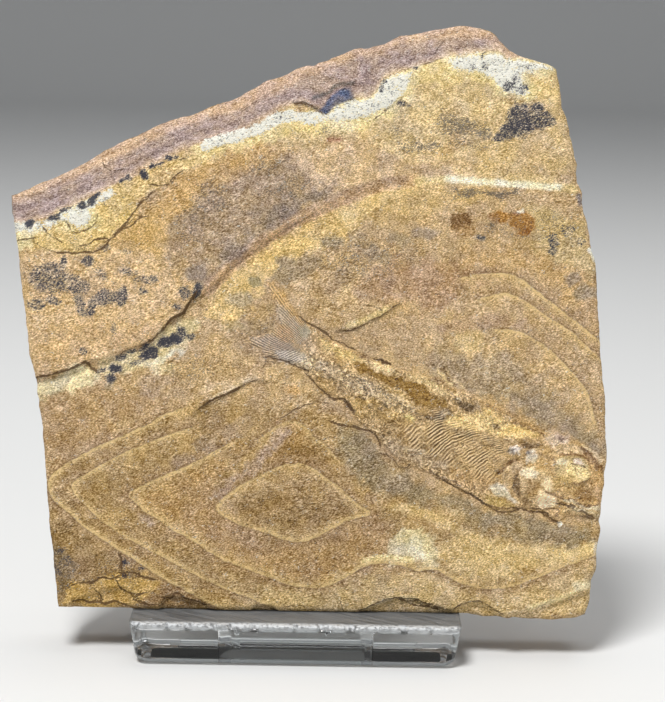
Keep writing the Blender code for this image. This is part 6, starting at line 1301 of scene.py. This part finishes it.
for loop, z in levels:
    ring = np.column_stack([loop, np.full(len(loop), z)])
    for x in (-19.5, 19.5):
        hole = np.hypot(loop[:, 0] - STAND_X - x, loop[:, 1] - FRONT_Y - 6.0)
        ring[:, 2] += (z < 0.01) * 0.5 * (1 - ease(hole, 1.95, 2.2))
    lip = (1 - ease(loop[:, 1] - FRONT_Y, 0.5, 2.0)) * ease(z, HEIGHT - 1.0, HEIGHT - 0.3)
    nick = ease(mottle(ring[:, :2] * [1, 0], 1.5, 51, 4), 0.05, 0.8) * lip
    ring[:, 2] -= 0.75 * nick * (1 - ease(loop[:, 1] - FRONT_Y, 0.0, 1.2))
    ring[:, 1] += 0.35 * nick
    rings.append(ring)
count = len(rings)
index = np.arange(count * AROUND).reshape(count, AROUND)
after = np.roll(index, -1, axis=0)
quads = np.stack([index, np.roll(index, -1, axis=1), np.roll(after, -1, axis=1), after], axis=-1).reshape(-1, 4)
data = bpy.data.meshes.new("acrylic_base")
data.from_pydata((np.concatenate(rings) * MM).tolist(), [], quads.tolist())
base = bpy.data.objects.new("acrylic_base", data)
bpy.context.scene.collection.objects.link(base)


def rest_sheet():
    """Side view of the back rest as two matched lines of (y, z) in mm, outer and inner: up behind the slab,
    round the fold on two arcs about one centre, and down to the table."""
    up, back = np.array([math.sin(LEAN), math.cos(LEAN)]), np.array([math.cos(LEAN), -math.sin(LEAN)])
    fold, sheet = 4.5, 3.0
    foot = np.array([FRONT_Y + 7.5 + (THICKNESS + 0.3) / math.cos(LEAN) + (0.8 - HEIGHT) * math.tan(LEAN), 0.8])
    centre = foot + up * ((60.0 - 0.8) / math.cos(LEAN) - fold) + back * fold
    heel = np.array([FRONT_Y + 47.0, 0.0])
    toward = heel - centre
    leg = math.atan2(toward[1], toward[0]) - math.asin(fold / np.hypot(*toward))
    down, out = np.array([math.cos(leg), math.sin(leg)]), np.array([-math.sin(leg), math.cos(leg)])
    turn = np.linspace(math.atan2(-back[1], -back[0]), math.atan2(out[1], out[0]), 25)
    arc = np.stack([np.cos(turn), np.sin(turn)], axis=1)
    lines = []
    for radius, start in ((fold, foot), (fold - sheet, foot + back * sheet)):
        curve = centre + arc * radius
        end = curve[-1] + down * (curve[-1][1] / -down[1])
        rise = start + (curve[0] - start) * np.linspace(0, 1, 12)[:-1, None]
        fall = curve[-1] + (end - curve[-1]) * np.linspace(0, 1, 12)[1:, None]
        lines.append(np.concatenate([rise, curve, fall]))
    return lines


outer, inner = rest_sheet()
points, faces = [], []
EDGE_ROUND = 0.35
for across_at, pinch in ((-1, 1.0), (-1, 0.3), (-1, 0.0), (1, 0.0), (1, 0.3), (1, 1.0)):
    middle, half = (outer + inner) / 2, (outer - inner) / 2
    thin = 1.0 - pinch * EDGE_ROUND / 1.5
    setback = {1.0: 0.0, 0.3: 0.1, 0.0: EDGE_ROUND}[pinch]
    loop = np.concatenate([middle + half * thin, (middle - half * thin)[::-1]])
    width = 22.0 - 9.0 * loop[:, 1] / 60.0 - setback
    points.append(np.column_stack([STAND_X + across_at * width, loop]))
size = len(outer) * 2
for k in range(len(points) - 1):
    near, far = k * size + np.arange(size), (k + 1) * size + np.arange(size)
    faces += ring_faces(near, far).tolist()
for start, flip in ((0, False), ((len(points) - 1) * size, True)):
    k = np.arange(size // 2 - 1)
    cap = start + np.stack([k, k + 1, size - 2 - k, size - 1 - k], axis=1)
    faces += (cap[:, ::-1] if flip else cap).tolist()
data = bpy.data.meshes.new("acrylic_rest")
data.from_pydata((np.concatenate(points) * MM).tolist(), [], faces)
rest = bpy.data.objects.new("acrylic_rest", data)
bpy.context.scene.collection.objects.link(rest)
import bmesh
for part in (base, rest):
    mesh = bmesh.new()
    mesh.from_mesh(part.data)
    bmesh.ops.recalc_face_normals(mesh, faces=mesh.faces)
    mesh.to_mesh(part.data)
    mesh.free()
union = base.modifiers.new("joined", "BOOLEAN")
union.operation = "UNION"
union.solver = "EXACT"
union.object = rest
graph = bpy.context.evaluated_depsgraph_get()
data = bpy.data.meshes.new_from_object(base.evaluated_get(graph))
base.modifiers.clear()
stand = bpy.data.objects.new("display_stand", data)
bpy.context.scene.collection.objects.link(stand)
for part in (base, rest):
    bpy.data.objects.remove(part, do_unlink=True)

where = np.empty(len(data.vertices) * 3)
data.vertices.foreach_get("co", where)
where = where.reshape(-1, 3) / MM
on_top = ease(where[:, 2], HEIGHT - 0.9, HEIGHT - 0.1) * (1 - ease(where[:, 2], HEIGHT + 0.02, HEIGHT + 0.05))
sawn = on_top * (where[:, 1] < FRONT_Y + BASE_DEPTH - 0.3)
chipped = (1 - ease(where[:, 1] - FRONT_Y, 0.9, 1.8)) * ease(where[:, 2], HEIGHT - 1.1, HEIGHT - 0.4)
layer = data.attributes.new("finish", "FLOAT_VECTOR", "POINT")
layer.data.foreach_set("vector", np.column_stack([sawn, chipped, 0 * sawn]).ravel())
data.polygons.foreach_set("use_smooth", np.ones(len(data.polygons), bool))
data.set_sharp_from_angle(angle=math.radians(35))

acrylic = bpy.data.materials.new("clear acrylic")
acrylic.use_nodes = True
Wire.tree = acrylic.node_tree
shader = acrylic.node_tree.nodes["Principled BSDF"]
place = Wire.node("ShaderNodeTexCoord", {}, {}, "Object")
sawn, chipped, unused = parts("finish")
turned = Wire.node("ShaderNodeMapping", {}, {"Vector": place, "Rotation": (0, 0, math.radians(35)), "Scale": (1e3,) * 3})
kerf = cloud(turned, 1.0, 3.0, 0.7, squeeze=(0.12, 2.2, 1.0))
scuff = cloud(turned, 1.6, 4.0, 0.7)
frost = sawn * (0.40 + (kerf - 0.5) * 0.5) + chipped * 0.35
rough = (0.04 + frost + (scuff - 0.5) * 0.05).math("MAXIMUM", 0.02)
height = kerf * sawn + scuff * chipped
bump = Wire.node("ShaderNodeBump", {}, {"Height": height, "Strength": 0.5, "Distance": 0.0002})
for key, wire in (("Roughness", rough), ("Normal", bump)):
    Wire.tree.links.new(wire.socket, shader.inputs[key])
shader.inputs["Base Color"].default_value = (0.93, 0.95, 0.955, 1.0)
shader.inputs["Transmission Weight"].default_value = 1.0
shader.inputs["IOR"].default_value = 1.49
frosted = acrylic.node_tree.nodes.new("ShaderNodeBsdfPrincipled")
white = blended(chipped * scuff.step(0.35, 0.55), (0.22, 0.225, 0.23, 1.0), (0.75, 0.77, 0.78, 1.0))
acrylic.node_tree.links.new(white.socket, frosted.inputs["Base Color"])
frosted.inputs["Roughness"].default_value = 0.6
veil = (sawn * (kerf.step(0.35, 0.6) * 0.4 + 0.3) + chipped * scuff.step(0.35, 0.55) * 0.5).math("MINIMUM", 0.8)
mixed = Wire.node("ShaderNodeMixShader", {}, {0: veil, 1: Wire(shader.outputs[0]), 2: Wire(frosted.outputs[0])})
acrylic.node_tree.links.new(mixed.socket, acrylic.node_tree.nodes["Material Output"].inputs["Surface"])
data.materials.clear()
data.materials.append(acrylic)
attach(stand, "root")
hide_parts("acrylic_stand")

# ---- table, light and camera ---------------------------------------------------------------------------------
# A pale sheet that sweeps up behind, one large soft light high in front, a weak one at the side, and a camera
# square to the slab's face.
x = np.linspace(-2.2, 2.2, 3)
turn = np.radians(np.linspace(-90, 0, 25))
profile = np.concatenate([[[-2.2, 0.0]], np.column_stack([1.6 + 0.6 * np.cos(turn), 0.6 + 0.6 * np.sin(turn)]), [[2.2, 3.0]]])
points = [(a, y, z) for y, z in profile for a in x]
table = bpy.data.objects.new("table", bpy.data.meshes.new("table"))
table.data.from_pydata(points, [], grid_faces(len(x), len(profile)).tolist())
table.data.polygons.foreach_set("use_smooth", np.ones(len(table.data.polygons), bool))
bpy.context.scene.collection.objects.link(table)
paper = bpy.data.materials.new("pale paper")
paper.use_nodes = True
paper.node_tree.nodes["Principled BSDF"].inputs["Base Color"].default_value = (0.72, 0.72, 0.71, 1.0)
paper.node_tree.nodes["Principled BSDF"].inputs["Roughness"].default_value = 0.9
table.data.materials.append(paper)

LIGHTS = [("key light", (-0.22, -0.42, 0.95), 0.34, 10.3), ("side light", (0.6, -0.8, 0.35), 0.5, 1.4),
          ("top light", (0.1, 0.25, 0.9), 0.6, 2.4)]
face_middle = SLAB_ORIGIN + ALONG_UP * 0.0442
for name, spot, size, power in LIGHTS:
    lamp = bpy.data.lights.new(name, "AREA")
    lamp.shape = "DISK"
    lamp.size = size
    lamp.energy = power
    lit = bpy.data.objects.new(name, lamp)
    lit.location = spot
    lit.rotation_euler = (face_middle - Vector(spot)).to_track_quat("-Z", "Y").to_euler()
    bpy.context.scene.collection.objects.link(lit)
world = bpy.data.worlds.new("room")
bpy.context.scene.world = world
world.use_nodes = True
world.node_tree.nodes["Background"].inputs["Color"].default_value = (0.93, 0.96, 1.0, 1.0)
world.node_tree.nodes["Background"].inputs["Strength"].default_value = 0.21
bpy.context.scene.view_settings.view_transform = "Standard"

lens = bpy.data.cameras.new("camera")
lens.sensor_fit = "HORIZONTAL"
lens.angle = math.radians(18.3)
lens.clip_start = 0.01
camera = bpy.data.objects.new("camera", lens)
sight = ALONG_BACK.copy()
camera.location = face_middle - sight * 0.35
look = sight.to_track_quat("-Z", "Y").to_matrix() @ Matrix.Rotation(math.radians(0.9), 3, "Z")
camera.rotation_euler = look.to_euler()
bpy.context.scene.collection.objects.link(camera)
bpy.context.scene.camera = camera
